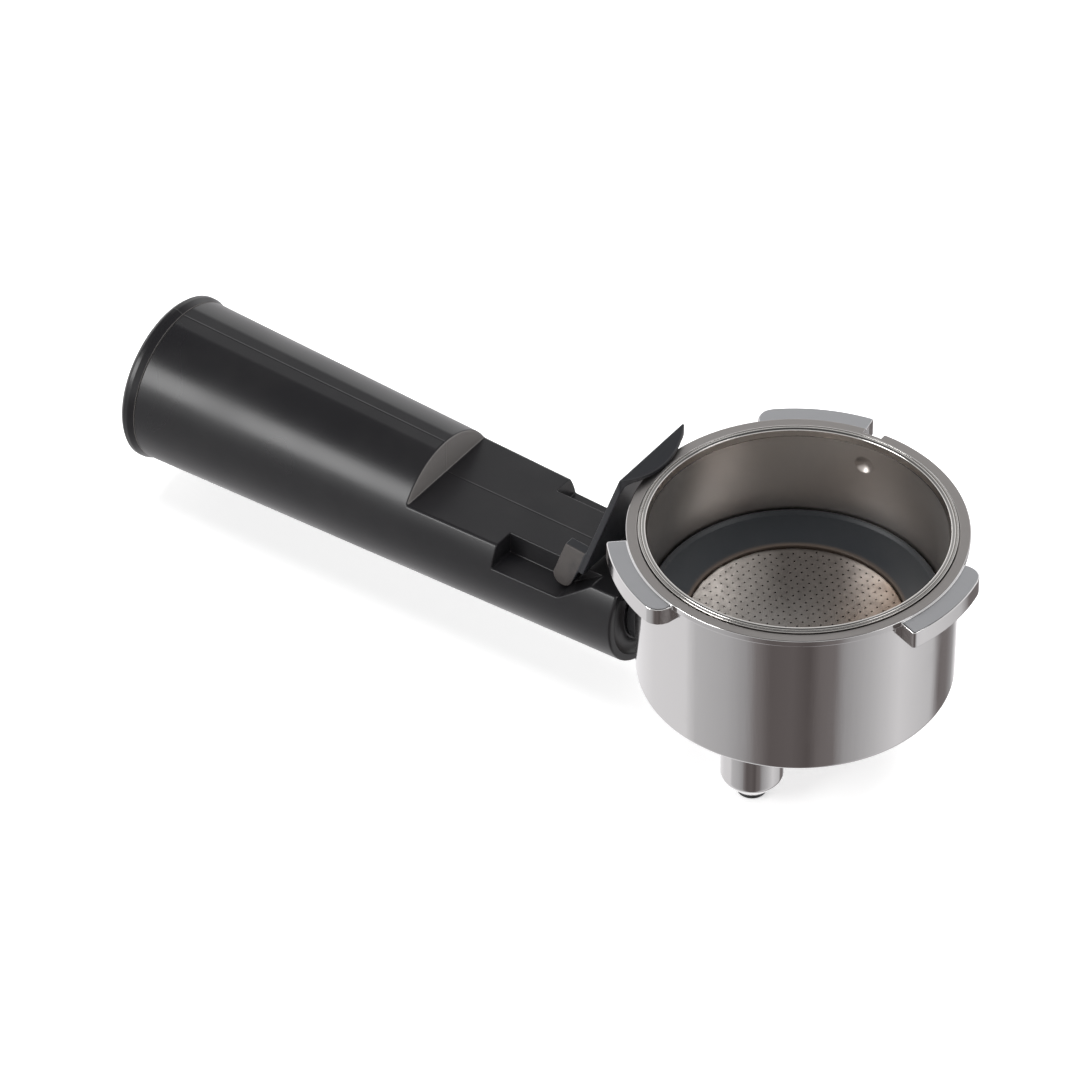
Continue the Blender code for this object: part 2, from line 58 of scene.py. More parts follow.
# Driving sizes, read from the CAD
CUP_LOW, CUP_HIGH = span("holder_casting")
RIM_Z = CUP_HIGH.z
LUG_R = CUP_HIGH.x
BOSS_END_Z = CUP_LOW.z
NECK_END_X = CUP_LOW.x
BASKET_LOW, BASKET_HIGH = span("filter_basket")
BEAD_R, BEAD_Z = BASKET_HIGH.x, BASKET_HIGH.z
RING_HIGH = span("basket_ring")[1]
SCREEN_LOW, SCREEN_HIGH = span("filter_screen")
HANDLE_LOW, HANDLE_HIGH = span("handle_body")
CAP_LOW, CAP_HIGH = span("handle_end_cap")
COLLAR_LOW, COLLAR_HIGH = span("neck_collar")
LEVER_LOW, LEVER_HIGH = span("clamp_lever")
PIN_LOW, PIN_HIGH = span("lever_pin")
SPOUT_LOW, SPOUT_HIGH = span("spout_block")
TIP_LOW, TIP_HIGH = span("nozzle_right")
PLATE_LOW, PLATE_HIGH = span("outlet_plate")
HANDLE_Z = (CAP_LOW.z + CAP_HIGH.z) / 2
HINGE_X = (PIN_LOW.x + PIN_HIGH.x) / 2
HINGE_Z = (PIN_LOW.z + PIN_HIGH.z) / 2
SPOUT_Y = (TIP_LOW.y + TIP_HIGH.y) / 2

# Cup
FLANGE_R = 29.5
FLANGE_Z = RIM_Z - 1.3
FLANGE_FILLET = 0.9
RIM_EDGE, FOOT_EDGE, LUG_EDGE, NOTCH_EDGE = 0.18, 0.8, 0.3, 0.12  # radii of the cup's edges
WALL_R = 27.9
WALL_FOOT_R = 27.6
BORE_R = 26.6
SEAT_R = 27.62
SEAT_Z = RIM_Z - 1.0
CUP_FLOOR_Z = -8.0
CUP_BOTTOM_Z = -10.4
BOSS_R = 5.4
OUTLET_R = 3.8
NECK_R = 5.2
LUG_TOP_Z = RIM_Z - 0.4
LUG_BOTTOM_Z = RIM_Z - 3.9
LUG_HALF_ANGLE = 19.5
LUG_ANGLES = (0.0, 120.0, 240.0)
LUG_LEAD_R, LUG_TRAIL_R = 3.3, 0.7  # plan corners at the two ends of a lug
LUG_LEAD_CUT = 1.6  # how much shorter a lug is at its rounded end, in degrees
NOTCH_R = 28.3
NOTCH_Z = LUG_BOTTOM_Z - 1.0
NOTCH_ANGLES = (94.0, 101.0)
DIMPLE_ANGLE = 98.0
DIMPLE_Z = RIM_Z - 5.0
DIMPLE_R = 1.7
DIMPLE_DEPTH = 0.75
DIMPLE_REACH = 2.6
GROOVE_DEPTH = 0.7  # clearance for the dimple in the cup's bore

# Basket
BASKET_IN_R = 25.8
SHEET = 0.4  # thickness of the basket's steel
BASKET_OUT_R = BASKET_IN_R + SHEET
WELL_R, WELL_Z = 23.0, -0.8  # where the wall steps in under the screen
SUMP_R = 0.8  # the basket's one fine outlet
RING_IN_R = 18.9
HOLE_PITCH = 1.43
HOLES_TURN = radians(5.6)
HOLE_R = 0.19
HOLES_WITHIN_R = 18.0
HOLE_SIDES, DISC_SIDES = 10, 120
PLATE_R = RING_IN_R - 0.2  # edge of the screen's flat face

# Handle
HANDLE_FRONT_X = HANDLE_HIGH.x
HANDLE_REAR_X = CAP_LOW.x
HANDLE_FRONT_R = 12.4
HANDLE_REAR_R = 15.1
SEAM_X = HANDLE_LOW.x
FLAT_W = 6.9  # height of the lever's flat above the handle's axis
FLAT_END_X = -74.6
POCKET_W = 2.6
POCKET_REAR_X = -55.6
RAMP_LOW_X, RAMP_HIGH_X = -41.7, -35.7
TONGUE_HALF = 7.05
NECK_BORE_R, NECK_BORE_DEPTH = 5.5, 4.0
CAP_SOCKET_R, CAP_SOCKET_DEPTH = 12.0, 5.5
HANDLE_EDGE = 0.5
WASHER_IN_R = 2.3
# Groove in the handle's front face: distance from the axis and depth
FRONT_GROOVE = ((7.5, 0), (7.98, 0), (8.1, 0.12), (8.15, 1.1), (10.95, 1.1), (11.0, 0.12), (11.12, 0))

# Clamp lever: s runs up the strap from the hinge, f points forward to the cup
LEAN = radians(19.3)
STRAP_BACK, STRAP_FRONT = 2.1, 3.3
STRAP_FOOT, STRAP_FOLD = 3.6, 30.0
STRAP_HALF = LEVER_HIGH.y
EAR_IN = TONGUE_HALF + 0.35
EAR_R, EAR_TOP = 2.0, 8.0
PADDLE_TIP_X = LEVER_HIGH.x
PADDLE_TOP_Z = RIM_Z + 1.05
PADDLE_THICK = 0.85

# Spouts
SPOUT_R = 5.5
SPOUT_END_Z = SPOUT_LOW.z
HUB_R = 8.6
HUB_END_Z = -22.2
BRIDGE_HALF = 4.6
BRIDGE_LOW_Z, BRIDGE_HIGH_Z = -21.8, -14.6
SOCKET_END_Z = -16.0
SPOUT_TOP_Z, SPOUT_BORE_Z = -13.8, -23.5
CONE_SLOPE, CONE_RISE = 0.84, 3.1
PLATE_UNDER_Z = -6.9
PLATE_GROOVES = (5.5, 8.5, 16.0)
SCREW_SLOT_TURN = 0.6

# Camera: a long lens, to the right of the side view and above it
CAMERA_YAW = radians(35.6)
CAMERA_DROP = radians(40.3)
CAMERA_LENS = 304.0
CAMERA_DISTANCE = 1557.0
AIM_LEFT, AIM_DOWN = 44.11, 1.96  # from the rim's centre, across and down

# Softboxes by azimuth, elevation, distance, width, height and radiance, and the floor's sheet
SOFTBOXES = {
    "strip_softbox": (-120, 27, 1.6, 0.8, 0.66, 6.6),
    "side_softbox": (12, 44, 1.6, 0.6, 0.4, 2.2),
    "overhead_fill": (100, 78, 2.2, 2.4, 2.4, 3.3),
}
FLOOR_HALF, FLOOR_FLAT_R = 3000, 2200

# Colours, linear
ALUMINIUM = (0.83, 0.82, 0.815)
SATIN_TOP = (0.72, 0.725, 0.75)
FLANGE_BROWN = (0.56, 0.53, 0.515)
LUG_END_GREY = (0.42, 0.39, 0.38)
DRAWN_STEEL = (0.76, 0.73, 0.705)
WARM_STEEL = (0.60, 0.54, 0.50)
BEAD_STEEL = (0.68, 0.66, 0.64)
SCREEN_STEEL = (0.84, 0.81, 0.78)
BROWN_FILM = (0.36, 0.30, 0.255)
COFFEE_STAIN = (0.42, 0.32, 0.25)
# Painted shade: the darker patch at the back middle of the screen
PAINTED_SHADE_GREY = (0.27, 0.25, 0.24)
RESIDUE_BROWN = (0.16, 0.11, 0.075)
DUST_GREY = (0.06, 0.056, 0.053)
FITTING_BLACK = (0.022, 0.022, 0.024)
HANDLE_BLACK = (0.0105, 0.0102, 0.0115)
# Painted light: the lighter grey of the handle's step wall, which faces the cup
LIT_STEP_GREY = (0.16, 0.15, 0.145)
LEVER_BLACK = (0.017, 0.018, 0.021)
# Painted reflection: the brownish grey on the outside of the lever's ears
EAR_REFLECTION_GREY = (0.062, 0.055, 0.052)
RING_BLUE = (0.021, 0.024, 0.028)
RING_BROWN = (0.12, 0.085, 0.06)
RUBBER_BLACK = (0.02, 0.02, 0.02)
ZINC_GREY = (0.62, 0.62, 0.60)
ZINC_YELLOW = (0.45, 0.43, 0.36)
PAPER = (0.93, 0.93, 0.93)
PAPER_LIGHT = (0.96, 0.96, 0.96)

# Meshing
SHARP = 32  # angle from which an edge is drawn sharp, in degrees
LEVEL = 0.985  # cosine from which a face counts as level
CLOSEST = 0.0015  # least distance between two rows


# ---- outlines and meshes


def rounded(corners, closed=True, pieces=5):
    """Turns (a, b, radius) corners into an outline with arcs, and with a point close to each arc."""
    outline = []
    count = len(corners)
    for i, (a, b, radius) in enumerate(corners):
        here = Vector((a, b))
        ends = not closed and i in (0, count - 1)
        if radius <= 0 or ends:
            outline.append(here)
            continue
        before = Vector(corners[i - 1][:2]) - here
        after = Vector(corners[(i + 1) % count][:2]) - here
        angle = before.angle(after)
        if angle > radians(178):
            outline.append(here)
            continue
        setback = min(radius / tan(angle / 2), 0.48 * before.length, 0.48 * after.length)
        radius = setback * tan(angle / 2)
        middle = (before.normalized() + after.normalized()).normalized()
        centre = here + middle * (radius / sin(angle / 2))
        start = here + before.normalized() * setback - centre
        end = here + after.normalized() * setback - centre
        turn = start.angle_signed(end)
        steps = max(2, ceil(abs(degrees(turn)) / 90 * pieces))
        for k in range(steps + 1):
            outline.append(centre + Matrix.Rotation(-turn * k / steps, 2) @ start)
    return supported([tuple(p) for p in outline], closed)


def supported(outline, closed, near=0.08):
    """Adds a point close to both ends of each long straight stretch, which keeps its shading flat."""
    points = []
    pairs = list(zip(outline, outline[1:]))
    if closed:
        pairs.append((outline[-1], outline[0]))
    for start, end in pairs:
        points.append(start)
        start, end = Vector(start), Vector(end)
        if (end - start).length > 5 * near:
            points.append(tuple(start + (end - start).normalized() * near))
            points.append(tuple(end - (end - start).normalized() * near))
    if not closed:
        points.append(outline[-1])
    return points


def linked(name, data):
    obj = bpy.data.objects.new(name, data)
    bpy.context.scene.collection.objects.link(obj)
    return obj


def as_object(name, mesh, look):
    """A linked object with smooth faces and one material."""
    mesh.shade_smooth()
    mesh.materials.append(look)
    return linked(name, mesh)


def to_piece(bm, name, look, sharp=SHARP):
    """The bmesh, drawn in millimetres, as an object in metres with its faces pointing out."""
    bmesh.ops.remove_doubles(bm, verts=bm.verts, dist=2e-4)
    bmesh.ops.dissolve_degenerate(bm, edges=bm.edges, dist=1e-5)
    bmesh.ops.recalc_face_normals(bm, faces=bm.faces)
    bmesh.ops.scale(bm, vec=(MM, MM, MM), verts=bm.verts)
    mesh = bpy.data.meshes.new(name)
    bm.to_mesh(mesh)
    bm.free()
    piece = as_object(name, mesh, look)
    mesh.set_sharp_from_angle(angle=radians(sharp))
    return piece


def grid(rows, loop_rows, bm=None, caps=False):
    """Quads between rows of points. Each row is closed; loop_rows joins the last row to the first."""
    bm = bm or bmesh.new()
    rows = [[bm.verts.new(p) for p in row] for row in rows]
    pairs = list(zip(rows, rows[1:]))
    if loop_rows:
        pairs.append((rows[-1], rows[0]))
    for lower, upper in pairs:
        for i in range(len(lower)):
            j = (i + 1) % len(lower)
            bm.faces.new((lower[i], lower[j], upper[j], upper[i]))
    if caps:
        bm.faces.new(rows[0])
        bm.faces.new(rows[-1])
    return bm


def turned(name, corners, look, steps=128, on_handle=False, y=0, solid=False, pieces=5):
    """Turns (radius, height, corner radius) corners about a vertical axis, or about the handle's.

    A solid piece starts and ends on the axis.
    """
    angles = np.linspace(0, tau, steps, endpoint=False)
    rows = []
    for r, height in rounded(corners, closed=not solid, pieces=pieces):
        if on_handle:
            rows.append([(height, r * sin(a), HANDLE_Z + r * cos(a)) for a in angles])
        else:
            rows.append([(r * cos(a), y + r * sin(a), height) for a in angles])
    return to_piece(grid(rows, loop_rows=not solid), name, look)


def level_ring(radius, turn, height):
    """Points round the Z axis at one height. Each azimuth may have its own radius."""
    points = (radius * np.cos(turn), radius * np.sin(turn), np.full(len(turn), height))
    return np.stack(points, axis=1).tolist()


def join(first, other):
    """Puts the other piece's mesh into the first one."""
    with bpy.context.temp_override(active_object=first, selected_editable_objects=[first, other]):
        bpy.ops.object.join()
    return first


# ---- fields: negative inside a solid


def either(a, b, radius):
    """Union of two fields with a hollow corner of that radius."""
    corner = np.hypot(np.maximum(radius - a, 0), np.maximum(radius - b, 0))
    return np.maximum(radius, np.minimum(a, b)) - corner


def both(a, b, radius):
    """Intersection of two fields with a round edge of that radius."""
    return -either(-a, -b, radius)


def cylinder(r, low, high, radius, edge):
    """Field of a cylinder from a distance to its axis and the heights past its two ends."""
    return both(r - radius, np.maximum(low, high), edge)


def gradient(field, points, step=1e-3):
    slopes = [field(*(points + shift).T) - field(*(points - shift).T) for shift in step * np.eye(3)]
    return np.stack(slopes, axis=1) / (2 * step)


def shade_by(obj, field, within=0.01, level=2.0):
    """Gives the vertices on the field's surface the field's own normals.

    Normals steeper than the cosine "level" are made vertical, so that a level face is flat up to its edge.
    """
    mesh = obj.data
    points = np.zeros(len(mesh.vertices) * 3)
    mesh.vertices.foreach_get("co", points)
    points = points.reshape(-1, 3) / MM
    normals = gradient(field, points)
    size = np.linalg.norm(normals, axis=1, keepdims=True)
    normals /= np.maximum(size, 1e-9)
    upright = np.abs(normals[:, 2]) > level
    normals[upright] = np.sign(normals[upright, 2:]) * (0, 0, 1)
    normals[np.abs(field(*points.T)) > within] = 0
    normals[size[:, 0] < 0.5] = 0
    mesh.normals_split_custom_set_from_vertices(normals.tolist())
    return obj


def net(name, field, low, high, step, look):
    """Meshes a field: one vertex in each cell that the surface crosses, pulled onto the surface."""
    axes = [np.arange(a - 1.5 * step, b + 2.5 * step, step) for a, b in zip(low, high)]
    values = field(*np.meshgrid(*axes, indexing="ij"))
    solid = values < 0
    cells = solid.astype(int)
    for axis in range(3):
        cells = np.delete(cells, 0, axis) + np.delete(cells, -1, axis)
    mixed = (cells > 0) & (cells < 8)
    number = -np.ones(cells.shape, int)
    number[mixed] = np.arange(mixed.sum())
    places = np.argwhere(mixed)
    points = np.stack([axes[n][places[:, n]] + step / 2 for n in range(3)], axis=1)
    for _ in range(8):
        slope = gradient(field, points)
        size = np.maximum(np.sum(slope**2, axis=1, keepdims=True), 0.2)
        points -= field(*points.T)[:, None] * slope / size
    faces = []
    for axis in range(3):
        one, two = [n for n in range(3) if n != axis]
        change = np.argwhere(np.diff(solid.astype(int), axis=axis) != 0)
        for cell in change:
            if cell[one] == 0 or cell[two] == 0:
                continue
            corners = []
            for down_one, down_two in ((1, 1), (0, 1), (0, 0), (1, 0)):
                spot = cell.copy()
                spot[one] -= down_one
                spot[two] -= down_two
                corners.append(number[tuple(spot)])
            faces.append(corners)
    mesh = bpy.data.meshes.new(name)
    mesh.from_pydata((points * MM).tolist(), [], faces)
    bm = bmesh.new()
    bm.from_mesh(mesh)
    bmesh.ops.recalc_face_normals(bm, faces=bm.faces)
    bm.to_mesh(mesh)
    bm.free()
    return shade_by(as_object(name, mesh, look), field, within=0.05)


def spaced(places, apart):
    """The places in order, without those too close to the one before."""
    kept = []
    for place in sorted(places):
        if not kept or place - kept[-1] > apart:
            kept.append(place)
    return kept


def stations(low, high, step, marks=()):
    """Places from low to high, with more of them on both sides of each (mark, radius)."""
    places = list(np.linspace(low, high, max(2, round((high - low) / step) + 1)))
    for mark, radius in marks:
        for turn in np.linspace(0, pi / 2, 7):
            offset = radius * (1 - cos(turn)) + 0.002
            places += [mark - offset, mark + offset]
    return spaced([p for p in places if low <= p <= high], CLOSEST)


def reach(field, low, high, shape):
    """Distance from the axis at which a field crosses zero, found by halving."""
    inner = np.full(shape, float(low))
    outer = np.full(shape, float(high))
    for _ in range(34):
        middle = (inner + outer) / 2
        inside = field(middle) < 0
        inner = np.where(inside, middle, inner)
        outer = np.where(inside, outer, middle)
    return (inner + outer) / 2


# ---- materials


class Nodes:
    """A node tree, with short ways to add nodes and join them."""

    def __init__(self, tree):
        self.tree = tree

    def add(self, kind, **settings):
        node = self.tree.nodes.new(kind)
        for key, value in settings.items():
            setattr(node, key, value)
        return node

    def feed(self, socket, value):
        if isinstance(value, bpy.types.NodeSocket):
            self.tree.links.new(value, socket)
        elif value is not None:
            socket.default_value = value

    def fed(self, kind, *values, **settings):
        """A new node whose first inputs take the values."""
        node = self.add(kind, **settings)
        for socket, value in zip(node.inputs, values):
            self.feed(socket, value)
        return node

    def math(self, operation, a, b=None):
        return self.fed("ShaderNodeMath", a, b, operation=operation).outputs[0]

    def times(self, a, b):
        return self.math("MULTIPLY", a, b)

    def plus(self, a, b):
        return self.math("ADD", a, b)

    def minus(self, a, b):
        return self.math("SUBTRACT", a, b)

    def split(self, vector):
        return self.fed("ShaderNodeSeparateXYZ", vector).outputs

    def merge(self, x, y, z):
        return self.fed("ShaderNodeCombineXYZ", x, y, z).outputs[0]

    def mix(self, amount, a, b, colours=True):
        """Blends two colours, or two numbers, by an amount from 0 to 1."""
        node = self.add("ShaderNodeMix", data_type="RGBA" if colours else "FLOAT")
        first, result = (6, 2) if colours else (2, 0)
        self.feed(node.inputs[0], amount)
        self.feed(node.inputs[first], a)
        self.feed(node.inputs[first + 1], b)
        return node.outputs[result]


class Paint(Nodes):
    """A node material: a Principled shader with a few ways to vary it."""

    def __init__(self, name, colour, roughness, metallic=0.0):
        self.material = bpy.data.materials.new(name)
        self.material.use_nodes = True
        super().__init__(self.material.node_tree)
        self.shader = self.tree.nodes["Principled BSDF"]
        self.shader.inputs["Metallic"].default_value = metallic
        self.colour = (*colour, 1.0)
        self.roughness = roughness
        scaled = self.add("ShaderNodeVectorMath", operation="SCALE")
        self.feed(scaled.inputs[0], self.add("ShaderNodeTexCoord").outputs["Object"])
        self.feed(scaled.inputs["Scale"], 1 / MM)
        self.millimetres = scaled.outputs[0]
        self.heights = []

    def noise(self, scale, detail=2.0, rough=0.5, where=None):
        """Noise from 0 to 1, with the scale in features per millimetre."""
        node = self.add("ShaderNodeTexNoise")
        self.feed(node.inputs["Vector"], where or self.millimetres)
        node.inputs["Scale"].default_value = scale
        node.inputs["Detail"].default_value = detail
        node.inputs["Roughness"].default_value = rough
        return node.outputs[0]

    def step(self, value, low, high, out_low=0.0, out_high=1.0):
        """A soft step: out_low at or below low, out_high at or above high."""
        node = self.add("ShaderNodeMapRange", interpolation_type="SMOOTHSTEP")
        self.feed(node.inputs["Value"], value)
        flip = low > high
        ends = (high, low, out_high, out_low) if flip else (low, high, out_low, out_high)
        for name, number in zip(("From Min", "From Max", "To Min", "To Max"), ends):
            self.feed(node.inputs[name], number)
        return node.outputs["Result"]

    def cloud(self, scale, detail, low, high, *outs):
        """Patches: noise through a soft step."""
        return self.step(self.noise(scale, detail), low, high, *outs)

    def tint(self, colour, amount):
        """Mixes a colour in, by an amount from 0 to 1."""
        self.colour = self.mix(amount, self.colour, (*colour, 1.0))

    def roughen(self, value, amount):
        """Moves the roughness towards a value, by an amount from 0 to 1."""
        self.roughness = self.mix(amount, self.roughness, value, colours=False)

    def raise_by(self, height, depth):
        """Adds relief, its height from 0 to 1 standing for a depth in millimetres."""
        self.heights.append((height, depth * MM))

    def done(self):
        self.feed(self.shader.inputs["Base Color"], self.colour)
        self.feed(self.shader.inputs["Roughness"], self.roughness)
        normal = None
        for height, depth in self.heights:
            bump = self.add("ShaderNodeBump")
            bump.inputs["Distance"].default_value = depth
            self.feed(bump.inputs["Height"], height)
            self.feed(bump.inputs["Normal"], normal)
            normal = bump.outputs[0]
        self.feed(self.shader.inputs["Normal"], normal)
        return self.material


def around_z(paint):
    """Azimuth in radians, and distance from the Z axis and height in millimetres."""
    x, y, z = paint.split(paint.millimetres)
    out = paint.math("SQRT", paint.plus(paint.times(x, x), paint.times(y, y)))
    return paint.math("ARCTAN2", y, x), out, z


def surface_normal(paint):
    return paint.split(paint.add("ShaderNodeNewGeometry").outputs["Normal"])


def polished_cast():
    """Polished aluminium with satin lug tops, a brownish flange and rough ends on the lugs."""
    paint = Paint("polished_cast", ALUMINIUM, 0.055, metallic=1.0)
    angle, out, z = around_z(paint)
    x, y, _ = paint.split(paint.millimetres)
    lines = paint.merge(paint.times(angle, 1.6), paint.times(z, 2.6), out)
    paint.raise_by(paint.noise(1.0, 5.0, 0.65, where=lines), 0.003)
    upright = paint.merge(paint.times(angle, 13.0), paint.times(z, 0.04), 0.0)
    paint.raise_by(paint.noise(1.0, 3.0, 0.6, where=upright), 0.012)
    paint.roughen(0.14, paint.cloud(0.12, 3.0, 0.42, 0.72))
    normal_x, normal_y, up = surface_normal(paint)
    top = paint.times(paint.step(up, 0.8, 0.97), paint.step(z, RIM_Z - 3, RIM_Z - 2))
    paint.tint(SATIN_TOP, top)
    paint.roughen(0.34, top)
    paint.tint(FLANGE_BROWN, paint.times(top, paint.step(out, FLANGE_R + 0.1, FLANGE_R - 0.1)))
    paint.raise_by(paint.times(paint.noise(3.5, 3.0), top), 0.012)
    sideways = paint.minus(paint.times(x, normal_y), paint.times(y, normal_x))
    sideways = paint.math("ABSOLUTE", paint.math("DIVIDE", sideways, out))
    end = paint.times(paint.step(sideways, 0.75, 0.92), paint.step(out, FLANGE_R, FLANGE_R + 0.3))
    paint.tint(LUG_END_GREY, end)
    paint.roughen(0.42, end)
    paint.raise_by(paint.times(paint.noise(1.6, 4.0), end), 0.10)
    return paint.done()


def satin_steel():
    """Drawn stainless steel, warm and soft on the wall and a little brighter on the rolled bead."""
    paint = Paint("satin_steel", DRAWN_STEEL, 0.29, metallic=1.0)
    angle, out, z = around_z(paint)
    bead = paint.step(z, RIM_Z - 1.3, RIM_Z - 0.6)
    drawn = paint.merge(paint.times(angle, 30.0), paint.times(z, 0.12), out)
    streaks = paint.noise(1.0, 4.0, 0.6, where=drawn)
    paint.raise_by(paint.times(streaks, paint.minus(1.0, bead)), 0.004)
    paint.roughen(0.40, paint.cloud(0.06, 1.0, 0.25, 0.75))
    paint.tint(WARM_STEEL, paint.cloud(0.045, 1.0, 0.30, 0.75, 0.0, 0.7))
    paint.roughen(0.14, bead)
    paint.tint(BEAD_STEEL, bead)
    return paint.done()


def screen_steel():
    """Perforated steel, stained brown towards +X, with painted shade at the back (a darker patch standing
    in for a dark reflection) and residue at its edge.
    """
    paint = Paint("screen_steel", SCREEN_STEEL, 0.36, metallic=1.0)
    _, out, _ = around_z(paint)
    paint.roughen(0.50, paint.cloud(0.5, 4.0, 0.35, 0.70))
    x, y, _ = paint.split(paint.millimetres)
    right = paint.step(x, -4.0, 14.0)
    stain = paint.times(right, paint.step(paint.noise(0.14, 4.0, 0.6), 0.38, 0.66))
    paint.tint(BROWN_FILM, right)
    paint.tint(COFFEE_STAIN, paint.times(stain, 0.6))
    # Painted shade: a darker patch in the back middle of the disc, standing in for the dark part of its
    # reflection
    behind = paint.minus(paint.times(y, 0.81), paint.times(x, 0.58))
    beside = paint.plus(paint.times(x, 0.81), paint.times(y, 0.58))
    middle = paint.times(paint.step(beside, -9.0, -1.0), paint.step(beside, 18.0, 7.0))
    painted_shade = paint.times(middle, paint.step(behind, -9.0, 11.0))
    paint.tint(PAINTED_SHADE_GREY, paint.times(painted_shade, 0.85))
    crust = paint.cloud(0.5, 4.0, 0.35, 0.6)
    residue = paint.times(paint.step(out, PLATE_R - 0.22, PLATE_R - 0.04), crust)
    paint.tint(RESIDUE_BROWN, residue)
    paint.roughen(0.7, residue)
    paint.raise_by(paint.noise(1.3, 3.0), 0.008)
    return paint.done()


def moulded(name, colour, roughness, grain):
    """Black moulded plastic with a fine grain, cloudy gloss and a thin film of dust."""
    paint = Paint(name, colour, roughness)
    paint.shader.inputs["IOR"].default_value = 1.5
    paint.raise_by(paint.noise(2.8), grain)
    paint.roughen(roughness + 0.07, paint.cloud(0.06, 1.0, 0.25, 0.75))
    paint.tint(DUST_GREY, paint.cloud(0.16, 3.0, 0.35, 0.90, 0.0, 0.07))
    return paint


def handle_plastic():
    """Black plastic with a mould line along the flat, and painted light on the step above the flat: a
    lighter grey, also made rougher.
    """
    paint = moulded("handle_plastic", HANDLE_BLACK, 0.27, 0.004)
    x, y, z = paint.split(paint.millimetres)
    above = paint.step(z, HANDLE_Z + FLAT_W - 0.5, HANDLE_Z + FLAT_W - 0.1)
    line = paint.step(paint.math("ABSOLUTE", y), 0.22, 0.05)
    paint.raise_by(paint.times(line, above), 0.035)
    # Painted light: the step's wall, which faces the cup, is painted a lighter grey for the light that
    # falls on it
    forward = paint.step(surface_normal(paint)[0], 0.55, 0.85)
    step = paint.times(forward, paint.step(x, FLAT_END_X + 2, FLAT_END_X + 1))
    paint.tint(LIT_STEP_GREY, step)
    paint.roughen(0.55, step)
    return paint.done()


def lever_plastic():
    """Black plastic, with a patchy brownish grey painted on the outside of the ears as a painted
    reflection.
    """
    paint = moulded("lever_plastic", LEVER_BLACK, 0.25, 0.004)
    x, y, z = paint.split(paint.millimetres)
    low = paint.step(z, HINGE_Z + 10.0, HINGE_Z + 8.5)
    side = paint.step(paint.math("ABSOLUTE", y), STRAP_HALF - 0.35, STRAP_HALF - 0.1)
    # Painted reflection: a patchy brownish grey on the outer faces of the ears, low on the lever
    reflection_patches = paint.step(paint.noise(0.45, 4.0, 0.6), 0.15, 0.60, 0.45, 1.0)
    ahead = paint.times(paint.minus(x, HINGE_X), cos(LEAN))
    ahead = paint.minus(ahead, paint.times(paint.minus(z, HINGE_Z), sin(LEAN)))
    ear = paint.times(paint.step(ahead, STRAP_BACK, STRAP_BACK - 0.25), reflection_patches)
    painted_reflection = paint.times(paint.times(low, side), ear)
    paint.tint(EAR_REFLECTION_GREY, painted_reflection)
    paint.roughen(0.5, painted_reflection)
    return paint.done()


def ring_plastic():
    """Dark blue-grey plastic, stained brown along its inner edge."""
    paint = moulded("ring_plastic", RING_BLUE, 0.33, 0.005)
    _, out, _ = around_z(paint)
    paint.tint(RING_BROWN, paint.step(out, RING_IN_R + 0.8, RING_IN_R + 0.1, 0.0, 0.55))
    return paint.done()


def rubber():
    return moulded("black_rubber", RUBBER_BLACK, 0.75, 0.02).done()


def zinc():
    paint = Paint("zinc_steel", ZINC_GREY, 0.32, metallic=1.0)
    paint.roughen(0.5, paint.cloud(0.9, 4.0, 0.4, 0.7))
    paint.raise_by(paint.noise(2.5, 3.0), 0.004)
    paint.tint(ZINC_YELLOW, paint.cloud(0.4, 3.0, 0.5, 0.8, 0.0, 0.6))
    return paint.done()


def floor_paper():
    paint = Paint("floor_paper", PAPER, 0.85)
    paint.tint(PAPER_LIGHT, paint.noise(0.02, 3.0))
    paint.shader.inputs["Emission Color"].default_value = (1.0, 1.0, 1.0, 1.0)
    paint.shader.inputs["Emission Strength"].default_value = 0.47
    return paint.done()


# ---- cup and basket


def angle_past(angle, middle, half):
    """How far an angle lies past a sector's ends, in degrees; negative inside it."""
    return np.abs((angle - middle + 180) % 360 - 180) - half


def cup_outside(r, angle, z):
    """Field of the cup's outside, from the distance to its axis, the azimuth in degrees and z."""
    slope = (WALL_R - WALL_FOOT_R) / (RIM_Z - CUP_BOTTOM_Z)
    wall = r - WALL_FOOT_R - slope * (z - CUP_BOTTOM_Z)
    flange = both(r - FLANGE_R, FLANGE_Z - z, 0.25)
    body = either(wall, flange, FLANGE_FILLET)
    between_lugs = 360 / len(LUG_ANGLES)
    turn = (angle - LUG_ANGLES[0] + between_lugs / 2) % between_lugs - between_lugs / 2
    corner = np.where(turn > 0, LUG_LEAD_R, LUG_TRAIL_R)
    end = np.abs(turn) - LUG_HALF_ANGLE + LUG_LEAD_CUT * (turn > 0)
    plan = both(r - LUG_R, np.radians(end) * r, corner)
    lug = both(plan, np.maximum(z - LUG_TOP_Z, LUG_BOTTOM_Z - z), LUG_EDGE)
    body = either(body, lug, 0.2)
    body = both(body, z - RIM_Z, RIM_EDGE)
    body = both(body, CUP_BOTTOM_Z - z, FOOT_EDGE)
    notch_middle = sum(NOTCH_ANGLES) / 2
    notch_half = (NOTCH_ANGLES[1] - NOTCH_ANGLES[0]) / 2
    gap = np.minimum(r - NOTCH_R, -np.radians(angle_past(angle, notch_middle, notch_half)) * r)
    return both(body, np.minimum(gap, z - NOTCH_Z), NOTCH_EDGE)


def cup_field(x, y, z):
    return cup_outside(np.hypot(x, y), np.degrees(np.arctan2(y, x)), z)


